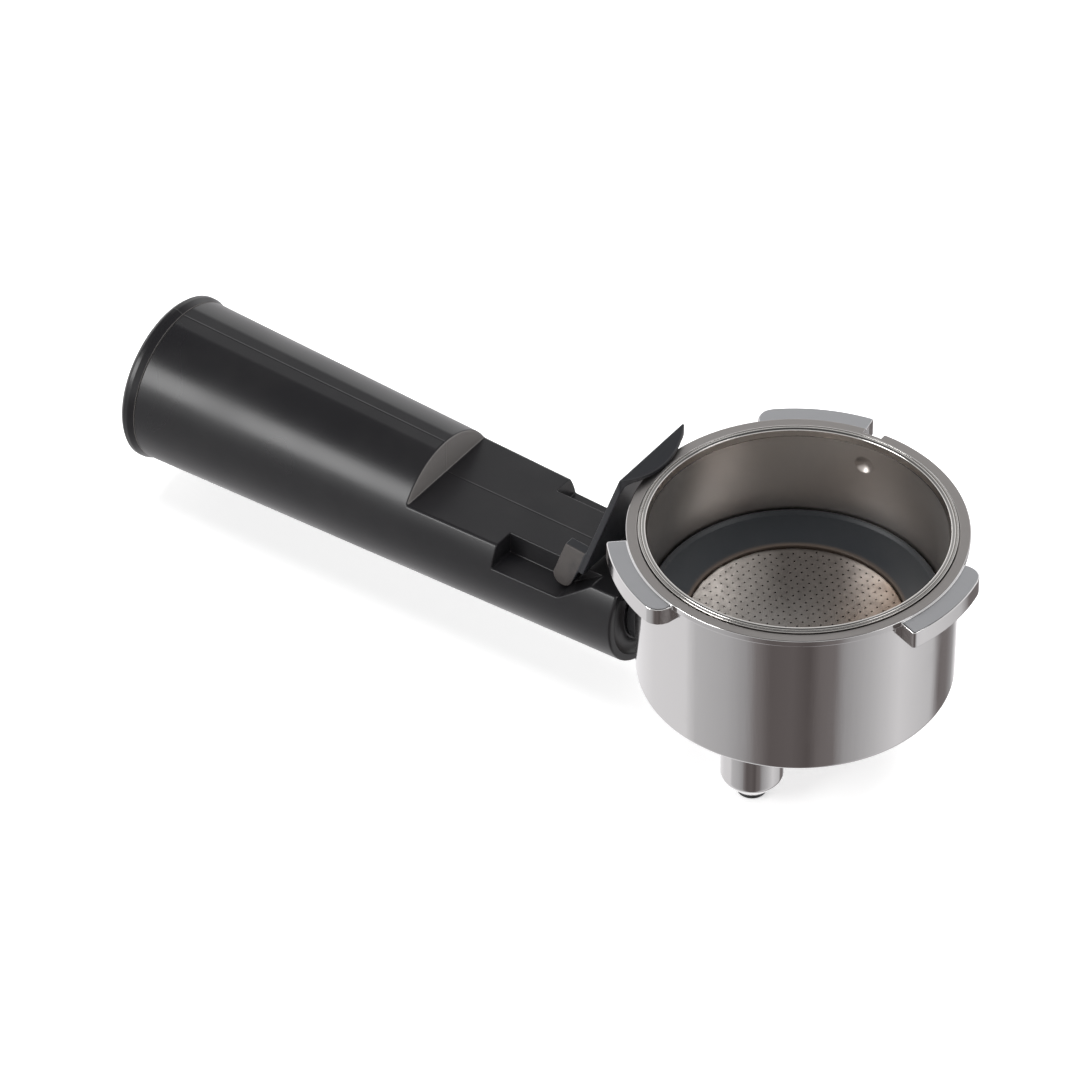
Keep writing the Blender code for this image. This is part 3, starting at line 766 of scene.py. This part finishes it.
def make_cup(look):
    marks = [(a, 0.4) for a in NOTCH_ANGLES]
    marks += [(DIMPLE_ANGLE - 3, 0.6), (DIMPLE_ANGLE + 3, 0.6)]
    for middle in LUG_ANGLES:
        marks.append(((middle + LUG_HALF_ANGLE - LUG_LEAD_CUT) % 360, 6.0))
        marks.append(((middle - LUG_HALF_ANGLE) % 360, 1.3))
    angles = np.array([a for a in stations(0, 360, 2.0, marks) if a < 359.9999])
    marks = [(CUP_BOTTOM_Z, FOOT_EDGE), (LUG_BOTTOM_Z, LUG_EDGE), (LUG_TOP_Z, LUG_EDGE)]
    marks += [(RIM_Z, RIM_EDGE), (NOTCH_Z, NOTCH_EDGE), (FLANGE_Z, FLANGE_FILLET)]
    heights = np.array(stations(CUP_BOTTOM_Z + 0.002, RIM_Z - 0.002, 2.0, marks))
    shape = (len(heights), len(angles))
    radii = reach(lambda r: cup_outside(r, angles[None, :], heights[:, None]), 15, 36, shape)
    turn = np.radians(angles)
    rows = [level_ring(radius, turn, height) for radius, height in zip(radii, heights)]
    low, high = DIMPLE_Z - 2.0, DIMPLE_Z + 1.5
    inside = [(FLANGE_R - 0.4, RIM_Z, 0), (SEAT_R, RIM_Z, 0.15), (SEAT_R, SEAT_Z, 0)]
    inside += [(BORE_R, SEAT_Z, 0.12), (BORE_R, high, 0), (BORE_R, low, 0), (BORE_R, CUP_FLOOR_Z, 1.2)]
    inside += [(OUTLET_R, CUP_FLOOR_Z, 0.2), (OUTLET_R, BOSS_END_Z, 0.15), (BOSS_R, BOSS_END_Z, 0.3)]
    inside += [(BOSS_R, CUP_BOTTOM_Z, 0.8), (WALL_FOOT_R - 1.0, CUP_BOTTOM_Z, 0)]
    groove = GROOVE_DEPTH * np.clip(-angle_past(angles, DIMPLE_ANGLE, 3.6) / 0.6, 0, 1)
    edge = np.min(radii[-1]) - 0.05
    for r, z in rounded(inside, closed=False):
        beside_dimple = low <= z < SEAT_Z and abs(r - BORE_R) < 0.01
        on_rim = r > SEAT_R + 0.5 and z > 0
        out = min(r, edge) if on_rim else r + groove * beside_dimple
        rows.append(level_ring(out, turn, z))
    cup = to_piece(grid(rows, loop_rows=True), "cup_casting", look)
    shade_by(cup, cup_field, level=LEVEL)
    neck = net("neck", neck_field, (NECK_END_X, -6, HANDLE_Z - 6), (-12, 6, HANDLE_Z + 6), 0.4, look)
    return join(cup, neck)


def neck_field(x, y, z):
    """The neck under the cup's floor and out to the handle, cut clear of the cup's inside."""
    r = np.hypot(y, z - HANDLE_Z)
    shaft = both(r - NECK_R, np.maximum(x + 13, NECK_END_X - x), 0.8)
    taper = r - NECK_R + np.maximum(x + 17, 0) * 0.5
    shaft = both(shaft, taper, 0.3)
    bore = np.hypot(x, y) - BORE_R - 0.4
    hollow = np.maximum(bore, CUP_FLOOR_Z - 0.4 - z)
    return both(shaft, -hollow, 0.1)


def dimple_depth(angles, z):
    """How far the basket's wall bulges out at its dimple."""
    across = np.radians(angle_past(angles, DIMPLE_ANGLE, 0)) * BASKET_IN_R
    away = np.minimum(np.hypot(across, z - DIMPLE_Z) / DIMPLE_R, 1)
    return DIMPLE_DEPTH * (1 - away**2) ** 1.2


def make_basket(look):
    """Pressed basket: the lip flares into a shallow groove and an outer bead."""
    floor, shelf = BASKET_LOW.z + SHEET, WELL_Z - SHEET
    corners = [(SUMP_R, floor, 0.1), (WELL_R, floor, 0.6), (WELL_R, WELL_Z, 0.5)]
    corners += [(BASKET_IN_R, WELL_Z, 0.25), (BASKET_IN_R, DIMPLE_Z - 2.5, 0)]
    corners.append((BASKET_IN_R, DIMPLE_Z + 2.5, 0))
    corners += [(BASKET_IN_R, RIM_Z - 0.9, 0.8), (26.15, BEAD_Z - 0.05, 0.35), (26.85, BEAD_Z, 0.3)]
    corners += [(27.0, RIM_Z - 0.1, 0.1), (27.12, BEAD_Z - 0.12, 0.12), (BEAD_R, BEAD_Z - 0.14, 0.16)]
    corners += [(BEAD_R, SEAT_Z + 0.3, 0.3), (BASKET_OUT_R, SEAT_Z + 0.3, 0.25)]
    corners += [(BASKET_OUT_R, DIMPLE_Z + 2.4, 0), (BASKET_OUT_R, DIMPLE_Z - 2.4, 0)]
    corners += [(BASKET_OUT_R, shelf, 0.6), (WELL_R + SHEET, shelf, 0.3)]
    corners += [(WELL_R + SHEET, BASKET_LOW.z, 0.9), (SUMP_R, BASKET_LOW.z, 0.1)]
    profile = rounded(corners, pieces=7)
    fine = []
    for (r0, z0), (r1, z1) in zip(profile, profile[1:] + profile[:1]):
        near_dimple = max(abs(z0 - DIMPLE_Z), abs(z1 - DIMPLE_Z)) < DIMPLE_REACH
        parts = 30 if near_dimple and abs(z1 - z0) > 2 else 1
        for k in range(parts):
            fine.append((r0 + (r1 - r0) * k / parts, z0 + (z1 - z0) * k / parts))
    around = list(np.arange(0, 360, 2.0)) + list(np.arange(DIMPLE_ANGLE - 3.6, DIMPLE_ANGLE + 3.7, 0.4))
    around = np.array(spaced(around, 0.05))
    rows = []
    for r, z in fine:
        on_wall = r > BASKET_IN_R - 0.01 and abs(z - DIMPLE_Z) < DIMPLE_REACH
        out = r + dimple_depth(around, z) * on_wall
        rows.append(level_ring(out, np.radians(around), z))
    return to_piece(grid(rows, loop_rows=True), "basket_shell", look, sharp=50)


def make_ring(look):
    r, low, high = RING_HIGH.x, SCREEN_HIGH.z - 0.15, RING_HIGH.z
    corners = [(RING_IN_R, low, 0.1), (r, low, 0.15), (r, high, 0.12), (r - 0.35, high, 0.15)]
    corners += [(r - 0.9, high - 0.55, 0.3), (RING_IN_R + 1.0, low + 1.0, 0.3)]
    corners.append((RING_IN_R, low + 0.65, 0.2))
    return turned("basket_ring_trim", corners, look, steps=180)


def polygon(radius, sides, centre=(0, 0)):
    turns = [tau * k / sides for k in range(sides)]
    return [Vector((centre[0] + radius * cos(a), centre[1] + radius * sin(a))) for a in turns]


def make_screen(look):
    """Perforated disc: a square lattice of real holes, and the lower rim that the ring covers."""
    count = int(HOLES_WITHIN_R / HOLE_PITCH) + 1
    loops = []
    for row in range(-count, count + 1):
        for column in range(-count, count + 1):
            centre = Matrix.Rotation(-HOLES_TURN, 2) @ Vector((column, row)) * HOLE_PITCH
            if centre.length < HOLES_WITHIN_R:
                loops.append(polygon(HOLE_R, HOLE_SIDES, centre))
    loops.append(polygon(PLATE_R, DISC_SIDES))
    points = []
    faces = []
    for loop in loops:
        faces.append(list(range(len(points), len(points) + len(loop))))
        points += loop
    verts, _, triangles, _, _, face_source = geometry.delaunay_2d_cdt(points, [], faces, 1, 1e-6)
    bm = bmesh.new()
    top = [bm.verts.new((v.x, v.y, SCREEN_HIGH.z)) for v in verts]
    low = [bm.verts.new((v.x, v.y, SCREEN_LOW.z)) for v in verts]
    uses = {}
    for corners, source in zip(triangles, face_source):
        if list(source) != [len(faces) - 1]:
            continue
        bm.faces.new([top[i] for i in corners])
        bm.faces.new([low[i] for i in reversed(corners)])
        for i, j in zip(corners, corners[1:] + corners[:1]):
            uses[frozenset((i, j))] = uses.get(frozenset((i, j)), 0) + 1
    for edge, times in uses.items():
        i, j = edge
        on_rim = max(verts[i].length, verts[j].length) > PLATE_R - 0.01
        if times == 1 and not on_rim:
            bm.faces.new((top[i], top[j], low[j], low[i]))
    margin = [(PLATE_R, 0.0), (PLATE_R + 0.05, -0.25), (SCREEN_HIGH.x, -0.25)]
    margin += [(SCREEN_HIGH.x, SCREEN_LOW.z), (PLATE_R, SCREEN_LOW.z)]
    rings = [[(*p, z) for p in polygon(r, DISC_SIDES)] for r, z in margin]
    grid(rings, loop_rows=False, bm=bm)
    return to_piece(bm, "perforated_screen", look)


# ---- spouts and outlet


def spout_field(x, y, z):
    """Twin spout: a hub with a socket, a bridge and two bored spouts."""
    from_axis = np.hypot(x, y)
    body = cylinder(from_axis, z - SPOUT_HIGH.z, HUB_END_Z - z, HUB_R, 0.6)
    bridge = both(np.abs(x) - BRIDGE_HALF, np.maximum(z - BRIDGE_HIGH_Z, BRIDGE_LOW_Z - z), 1.8)
    bridge = np.maximum(bridge, np.abs(y) - SPOUT_HIGH.y + SPOUT_R)
    body = either(body, bridge, 1.2)
    r = np.hypot(x, np.abs(y) - abs(SPOUT_Y))
    cone = (r - SPOUT_R + (SPOUT_END_Z + CONE_RISE - z) * CONE_SLOPE) / hypot(1, CONE_SLOPE)
    tube = cylinder(r, z - SPOUT_TOP_Z, SPOUT_END_Z - z, SPOUT_R, 0.4)
    tube = both(tube, cone, 0.3)
    body = either(body, tube, 1.2)
    socket = cylinder(from_axis, z + 5, SOCKET_END_Z - z, BOSS_R + 0.3, 0.1)
    bore = cylinder(r, z - SPOUT_BORE_Z, SPOUT_END_Z - 3 - z, TIP_HIGH.x - 0.1, 0.1)
    return both(both(body, -socket, 0.25), -bore, 0.25)


def make_spouts(look):
    low = (-HUB_R, SPOUT_LOW.y, SPOUT_LOW.z)
    high = (HUB_R, SPOUT_HIGH.y, SPOUT_HIGH.z)
    return net("twin_spout", spout_field, low, high, 0.35, look)


def make_tip(side, y, look):
    stop, r = SPOUT_END_Z - 0.3, TIP_HIGH.x
    corners = [(1.4, TIP_LOW.z, 0.2), (1.4, TIP_HIGH.z, 0.1), (2.2, TIP_HIGH.z, 0.2)]
    corners += [(2.2, stop, 0), (r, stop, 0.2), (r, TIP_LOW.z, 0.35)]
    return turned(f"spout_tip_{side}", corners, look, steps=64, y=y)


def make_plate(look):
    """Channel plate in the cup's floor, with grooves that spread the coffee."""
    low, high, edge = PLATE_LOW.z, PLATE_HIGH.z, PLATE_HIGH.x
    corners = [(1.8, low, 0.2), (1.8, high, 0.3)]
    for r in PLATE_GROOVES:
        corners += [(r, high, 0.1), (r + 0.3, high - 0.5, 0.1)]
        corners += [(r + 1.0, high - 0.5, 0.1), (r + 1.3, high, 0.1)]
    corners += [(edge, high, 0.5), (edge, PLATE_UNDER_Z, 0.3), (3.4, PLATE_UNDER_Z, 0.3), (3.4, low, 0.3)]
    return turned("channel_plate", corners, look, steps=120)


def make_seal(name, node, inner, edge, look, steps):
    """A rubber ring with rounded edges, in the CAD node's box."""
    low, high = span(node)
    corners = [(inner, high.z, edge), (high.x, high.z, edge), (high.x, low.z, edge), (inner, low.z, edge)]
    return turned(name, corners, look, steps)


def threaded(low, high, core, crest, pitch):
    """Corners of a shank with rings at a thread's pitch, from the high end down."""
    corners = []
    place = high
    while place - pitch > low:
        corners += [(crest, place, 0.03), (core, place - pitch / 2, 0.03)]
        place -= pitch
    return corners


def make_screw(name, node, look):
    """Pan head screw with a cross slot."""
    low, high = span(node)
    head, tip, r, y = high.z, low.z, high.x, (low.y + high.y) / 2
    corners = [(0, head, 0), (1.5, head, 0), (r, head - 0.45, 0.3), (r, head - 0.9, 0.1)]
    corners += [(0.95, head - 0.9, 0.1)]
    corners += threaded(tip + 0.2, head - 1.4, 0.75, 1.0, 0.6)
    corners += [(0.6, tip, 0.1), (0, tip, 0)]
    screw = turned(name, corners, look, steps=40, y=y, solid=True)
    for turn in (SCREW_SLOT_TURN, SCREW_SLOT_TURN + pi / 2):
        bm = bmesh.new()
        bmesh.ops.create_cube(bm, size=1)
        bmesh.ops.scale(bm, vec=(3.0, 0.5, 1.4), verts=bm.verts)
        bmesh.ops.rotate(bm, cent=(0, 0, 0), matrix=Matrix.Rotation(turn, 3, "Z"), verts=bm.verts)
        bmesh.ops.translate(bm, vec=(0, y, head + 0.1), verts=bm.verts)
        cut(screw, to_piece(bm, "cutter", look))
    return screw


def cut(piece, cutter):
    """Takes a cutter out of a piece for good."""
    modifier = piece.modifiers.new("cut", "BOOLEAN")
    modifier.operation = "DIFFERENCE"
    modifier.object = cutter
    with bpy.context.temp_override(object=piece, active_object=piece):
        bpy.ops.object.modifier_apply(modifier=modifier.name)
    bpy.data.objects.remove(cutter)
    piece.data.shade_smooth()
    piece.data.set_sharp_from_angle(angle=radians(SHARP))
    return piece


# ---- handle


def handle_radius(x):
    share = (x - HANDLE_FRONT_X) / (HANDLE_REAR_X - HANDLE_FRONT_X)
    return HANDLE_FRONT_R + share * (HANDLE_REAR_R - HANDLE_FRONT_R)


def handle_outside(r, angle, x):
    """Field of the handle, from the distance to its axis, the angle above level in degrees and x."""
    across = np.abs(r * np.cos(np.radians(angle)))
    up = r * np.sin(np.radians(angle))
    body = both(r - handle_radius(x), x - HANDLE_FRONT_X, HANDLE_EDGE)
    flat = either(up - FLAT_W, x - FLAT_END_X, 0.35)
    body = both(body, flat, 0.38)
    slope = (FLAT_W - POCKET_W) / (RAMP_HIGH_X - RAMP_LOW_X)
    ramp = (up - POCKET_W - slope * (x - RAMP_LOW_X)) / hypot(1, slope)
    pocket = either(up - POCKET_W, x - POCKET_REAR_X, 0.25)
    pocket = either(pocket, ramp, 0.25)
    pocket = either(pocket, across - TONGUE_HALF, 0.2)
    return both(body, pocket, 0.2)


def handle_field(x, y, z):
    up = z - HANDLE_Z
    return handle_outside(np.hypot(y, up), np.degrees(np.arctan2(up, y)), x)


def make_handle(look):
    fine = list(np.arange(7, 53, 0.4))
    angles = np.array(spaced(list(np.arange(-180, 180, 3.0)) + fine + [180 - a for a in fine], 0.25))
    marks = [(HANDLE_FRONT_X, HANDLE_EDGE), (FLAT_END_X, 0.4), (POCKET_REAR_X, 0.4)]
    marks += [(RAMP_LOW_X, 0.5), (RAMP_HIGH_X, 0.5)]
    places = stations(SEAM_X, HANDLE_FRONT_X - 0.002, 1.5, marks)
    places += list(np.arange(RAMP_LOW_X - 0.4, RAMP_HIGH_X + 0.4, 0.12))
    places = np.array(spaced(places, CLOSEST))[::-1]
    shape = (len(places), len(angles))
    radii = reach(lambda r: handle_outside(r, angles[None, :], places[:, None]), 1, 18, shape)
    turn = np.radians(angles)

    def ring(x, r):
        r = np.broadcast_to(r, turn.shape)
        x = np.broadcast_to(x, turn.shape)
        return np.stack((x, r * np.cos(turn), HANDLE_Z + r * np.sin(turn)), axis=1).tolist()

    mouth, bottom = HANDLE_FRONT_X, HANDLE_FRONT_X - NECK_BORE_DEPTH
    rows = [ring(bottom, 0.01), ring(bottom, NECK_BORE_R), ring(mouth - 0.2, NECK_BORE_R)]
    rows.append(ring(mouth, NECK_BORE_R + 0.2))
    sunk = np.where(angle_past(angles, 90, 61) > 0, 1.0, 0.0)
    for r, depth in FRONT_GROOVE:
        rows.append(ring(mouth - depth * sunk, np.minimum(r, radii[0] - 0.02)))
    rows += [ring(x, radius) for x, radius in zip(places, radii)]
    inner = SEAM_X + CAP_SOCKET_DEPTH
    rows += [ring(SEAM_X, CAP_SOCKET_R), ring(inner, CAP_SOCKET_R), ring(inner, 0.01)]
    bm = grid(rows, loop_rows=False, caps=True)
    handle = to_piece(bm, "handle_shell", look, sharp=38)
    return shade_by(handle, handle_field, level=LEVEL)


def make_end_cap(look):
    r, rear = CAP_HIGH.z - HANDLE_Z, HANDLE_REAR_X
    plug_x, shoulder_x = SEAM_X + 5.0, SEAM_X - 0.25
    corners = [(0, plug_x, 0), (11.8, plug_x, 0.4), (11.8, shoulder_x, 0), (15.0, shoulder_x, 0.12)]
    corners += [(r, SEAM_X - 1.4, 0.5), (r, rear + 0.8, 0.5), (r - 0.7, rear, 0.5), (r - 2.2, rear, 0.4)]
    corners += [(r - 2.9, rear + 0.5, 0.4), (4.0, rear + 0.5, 0.2), (3.6, rear + 0.3, 0.2)]
    corners.append((0, rear + 0.3, 0))
    return turned("handle_cap", corners, look, 160, on_handle=True, solid=True)


def make_collar(look):
    front, rear = COLLAR_HIGH.x, COLLAR_LOW.x
    r = COLLAR_HIGH.z - HANDLE_Z
    corners = [(NECK_BORE_R, front, 0.15), (NECK_BORE_R, rear, 0.1), (r, rear, 0.15), (r, front, 0.45)]
    return turned("neck_trim", corners, look, 120, on_handle=True)


def make_fasteners(look):
    """Tie bolt and its washers, inside the handle."""
    low, high = span("tie_bolt")
    corners = [(0, high.x, 0), (1.5, high.x, 0.1)]
    corners += threaded(high.x - 9.0, high.x - 0.4, 1.6, 2.0, 0.7)
    head = low.x + 3.6
    corners += [(1.9, high.x - 9.6, 0.2), (1.9, head, 0), (3.6, head, 0.2), (3.6, low.x, 0.5)]
    corners += [(1.9, low.x, 0.1), (1.7, low.x + 2.0, 0.1), (0, low.x + 2.2, 0)]
    bolt = turned("long_bolt", corners, look, 48, on_handle=True, solid=True)
    low, high = span("flat_washer")
    outer = high.z - HANDLE_Z
    ring = [(WASHER_IN_R, high.x, 0.1), (WASHER_IN_R, low.x, 0.1)]
    ring += [(outer, low.x, 0.15), (outer, high.x, 0.15)]
    washer = turned("bolt_washer", ring, look, 64, on_handle=True)
    return bolt, washer, make_lock_washer(look)


def make_lock_washer(look):
    """Split spring washer, its two ends a little apart along the bolt."""
    low, high = span("spring_washer")
    outer = high.z - HANDLE_Z
    rise = 0.1
    rear, front = low.x + rise, high.x - rise
    corners = [(WASHER_IN_R, front, 0.1), (WASHER_IN_R, rear, 0.1), (outer, rear, 0.1), (outer, front, 0.1)]
    section = rounded(corners)
    rows = []
    for turn in np.linspace(radians(4), radians(356), 60):
        shift = rise * (turn / pi - 1)
        rows.append([(x + shift, r * sin(turn), HANDLE_Z + r * cos(turn)) for r, x in section])
    return to_piece(grid(rows, loop_rows=False, caps=True), "bolt_lock_washer", look)


# ---- clamp lever


def lever_point(s, f):
    """(x, z) of a point s up the strap and f forward of the hinge."""
    x = HINGE_X + s * sin(LEAN) + f * cos(LEAN)
    z = HINGE_Z + s * cos(LEAN) - f * sin(LEAN)
    return x, z


def strap_field(x, y, z):
    """Field of the strap with its paddle and ears, rounded like a moulding."""
    dx, dz = x - HINGE_X, z - HINGE_Z
    s = dx * sin(LEAN) + dz * cos(LEAN)
    f = dx * cos(LEAN) - dz * sin(LEAN)
    side = np.abs(y) - STRAP_HALF
    fold_x, fold_z = lever_point(STRAP_FOLD, STRAP_BACK)
    tilt = (fold_z - PADDLE_TOP_Z) / (PADDLE_TIP_X - fold_x)
    top = (z - PADDLE_TOP_Z + tilt * (x - PADDLE_TIP_X)) / hypot(1, tilt)
    under = either(f - STRAP_FRONT, -top - PADDLE_THICK, 0.9)
    sagitta = PADDLE_TIP_X - fold_x - 0.25
    radius = (STRAP_HALF**2 + sagitta**2) / (2 * sagitta)
    arc = np.hypot(x - PADDLE_TIP_X + radius, y) - radius
    plate = both(under, STRAP_BACK - f, 0.3)
    plate = both(plate, STRAP_FOOT - s, 0.25)
    plate = both(plate, np.maximum(top, z - LEVER_HIGH.z + 0.02), 0.3)
    plate = both(both(plate, side, 0.2), arc, 0.2)
    growth = 0.35 * np.clip(s / 4, 0, 1) * (f > 0)
    around = np.where(s < 0, np.hypot(s, f) - EAR_R, np.abs(f) - EAR_R - growth)
    ear = both(around, s - EAR_TOP - 0.25 * f, 0.15)
    ear = both(ear, np.maximum(side, EAR_IN - np.abs(y)), 0.2)
    return either(plate, ear, 0.2)


def make_lever(look):
    return net("flip_lever", strap_field, tuple(LEVER_LOW), tuple(LEVER_HIGH), 0.25, look)


def make_pin(look):
    r = PIN_HIGH.x - HINGE_X
    end = PIN_HIGH.y
    corners = [(0, end, 0), (r, end, 0.25), (r, -end, 0.25), (0, -end, 0)]
    pin = turned("hinge_pin", corners, look, steps=40, solid=True)
    pin.data.transform(Matrix.Rotation(pi / 2, 4, "X"))
    pin.data.transform(Matrix.Translation((HINGE_X * MM, 0, HINGE_Z * MM)))
    return pin


# ---- studio


def make_camera():
    yaw, drop = CAMERA_YAW, CAMERA_DROP
    forward = Vector((-sin(yaw) * cos(drop), cos(yaw) * cos(drop), -sin(drop)))
    right = Vector((cos(yaw), sin(yaw), 0))
    up = right.cross(forward)
    aim = Vector((0, 0, RIM_Z)) - right * AIM_LEFT - up * AIM_DOWN
    camera = linked("camera", bpy.data.cameras.new("camera"))
    camera.data.lens = CAMERA_LENS
    camera.data.clip_start = 0.05
    camera.data.clip_end = 20
    camera.location = (aim - forward * CAMERA_DISTANCE) * MM
    camera.rotation_euler = forward.to_track_quat("-Z", "Y").to_euler()
    bpy.context.scene.camera = camera


# Brightness below the horizon, by azimuth in degrees: what the polished walls mirror
LOW_BANDS = (
    (-180, 0.74), (-142, 0.72), (-133, 0.52), (-107, 0.44), (-92, 0.33), (-84, 0.19), (-74, 0.11),
    (-58, 0.12), (-46, 0.09), (-38, 0.15), (-28, 0.17), (-20, 0.33), (2, 0.50), (25, 0.70),
    (60, 0.55), (70, 0.16), (84, 0.18), (96, 0.32), (114, 1.00), (150, 0.85), (180, 0.74),
)


# Brightness from the horizon (0.5) to overhead (1.0), behind the object and in front of it
BACK_TONES = ((0.50, 1.1), (0.66, 1.25), (0.74, 0.85), (0.81, 0.44), (0.87, 0.14), (1.00, 0.04))
FRONT_TONES = ((0.50, 1.00), (0.60, 0.85), (0.70, 0.60), (0.82, 0.50), (0.90, 0.14), (1.00, 0.04))


def warmed(tone):
    """A grey of that brightness, the warmer the darker it is."""
    warm = max(0.0, 1 - tone / 0.35)
    return tone * (1 + 0.08 * warm), tone * (0.985 - 0.10 * warm), tone * (1 - 0.14 * warm)


def make_world():
    """Soft studio: pale and dark panels low down, light ones above, dark overhead."""
    world = bpy.data.worlds.new("studio")
    bpy.context.scene.world = world
    world.use_nodes = True
    nodes = Nodes(world.node_tree)

    def ramp(value, stops):
        node = nodes.fed("ShaderNodeValToRGB", value)
        elements = node.color_ramp.elements
        while len(elements) > 1:
            elements.remove(elements[0])
        for i, (place, tone) in enumerate(stops):
            element = elements[0] if i == 0 else elements.new(place)
            element.position = place
            colour = tone if isinstance(tone, tuple) else (tone, tone, tone)
            element.color = (*colour, 1.0)
        return node.outputs[0]

    def halved(value):
        """From -1..1 to 0..1."""
        return nodes.plus(nodes.times(value, 0.5), 0.5)

    x, y, z = nodes.split(nodes.add("ShaderNodeTexCoord").outputs["Generated"])
    azimuth = nodes.plus(nodes.math("DIVIDE", nodes.math("ARCTAN2", y, x), tau), 0.5)
    height = halved(z)
    across = nodes.times(x, sin(CAMERA_YAW))
    back = halved(nodes.minus(nodes.times(y, cos(CAMERA_YAW)), across))
    low = ramp(azimuth, [(angle / 360 + 0.5, warmed(tone)) for angle, tone in LOW_BANDS])
    rise = ramp(height, ((0.48, 0.0), (0.52, 1.0)))
    behind = ramp(back, ((0.42, 0.0), (0.80, 1.0)))
    upper = nodes.mix(behind, ramp(height, FRONT_TONES), ramp(height, BACK_TONES))
    nodes.feed(world.node_tree.nodes["Background"].inputs["Color"], nodes.mix(rise, low, upper))


def make_light(name, azimuth, elevation, distance, width, height, radiance):
    """A softbox that faces the object, from its direction in degrees and its brightness."""
    lamp = bpy.data.lights.new(name, "AREA")
    lamp.shape = "RECTANGLE"
    lamp.size = width
    lamp.size_y = height
    lamp.energy = pi * width * height * radiance
    a, e = radians(azimuth), radians(elevation)
    obj = linked(name, lamp)
    obj.location = Vector((cos(a) * cos(e), sin(a) * cos(e), sin(e))) * distance
    obj.rotation_euler = (-obj.location).to_track_quat("-Z", "Y").to_euler()
    return obj


def make_floor(look):
    """A wide sheet of pale paper, which curves up at its ends."""
    bm = bmesh.new()
    bmesh.ops.create_grid(bm, x_segments=60, y_segments=60, size=FLOOR_HALF)
    for v in bm.verts:
        away = max(0.0, v.co.length - FLOOR_FLAT_R)
        v.co.z = TIP_LOW.z - 0.05 + away**2 / 6000
    floor = to_piece(bm, "floor", look)
    floor.visible_glossy = False


def mount(piece, node, body="holder"):
    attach(piece, body)
    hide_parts(node)


def main():
    cast = polished_cast()
    black = moulded("black_plastic", FITTING_BLACK, 0.38, 0.006).done()
    handle = handle_plastic()
    seal_rubber = rubber()
    metal = zinc()
    mount(make_cup(cast), "holder_casting")
    mount(make_spouts(cast), "spout_block")
    mount(make_basket(satin_steel()), "filter_basket", "basket")
    mount(make_ring(ring_plastic()), "basket_ring", "basket")
    mount(make_screen(screen_steel()), "filter_screen", "basket")
    for side, y in (("right", SPOUT_Y), ("left", -SPOUT_Y)):
        mount(make_tip(side, y, black), f"nozzle_{side}")
    mount(make_plate(black), "outlet_plate")
    mount(make_collar(black), "neck_collar")
    seal = make_seal("floor_seal", "outlet_seal", 15.0, 0.24, seal_rubber, 96)
    mount(seal, "outlet_seal")
    gasket = make_seal("hub_gasket", "spout_gasket", 4.0, 0.38, seal_rubber, 64)
    mount(gasket, "spout_gasket")
    for side in ("right", "left"):
        screw = make_screw(f"floor_screw_{side}", f"outlet_screw_{side}", metal)
        mount(screw, f"outlet_screw_{side}")
    mount(make_handle(handle), "handle_body")
    mount(make_end_cap(handle), "handle_end_cap")
    for piece, node in zip(make_fasteners(metal), ("tie_bolt", "flat_washer", "spring_washer")):
        mount(piece, node)
    mount(make_lever(lever_plastic()), "clamp_lever", "lever")
    mount(make_pin(metal), "lever_pin")
    make_floor(floor_paper())
    make_world()
    for name, numbers in SOFTBOXES.items():
        softbox = make_light(name, *numbers)
        softbox.visible_glossy = name != "overhead_fill"
    make_camera()
    bpy.context.scene.view_settings.view_transform = "Standard"


main()
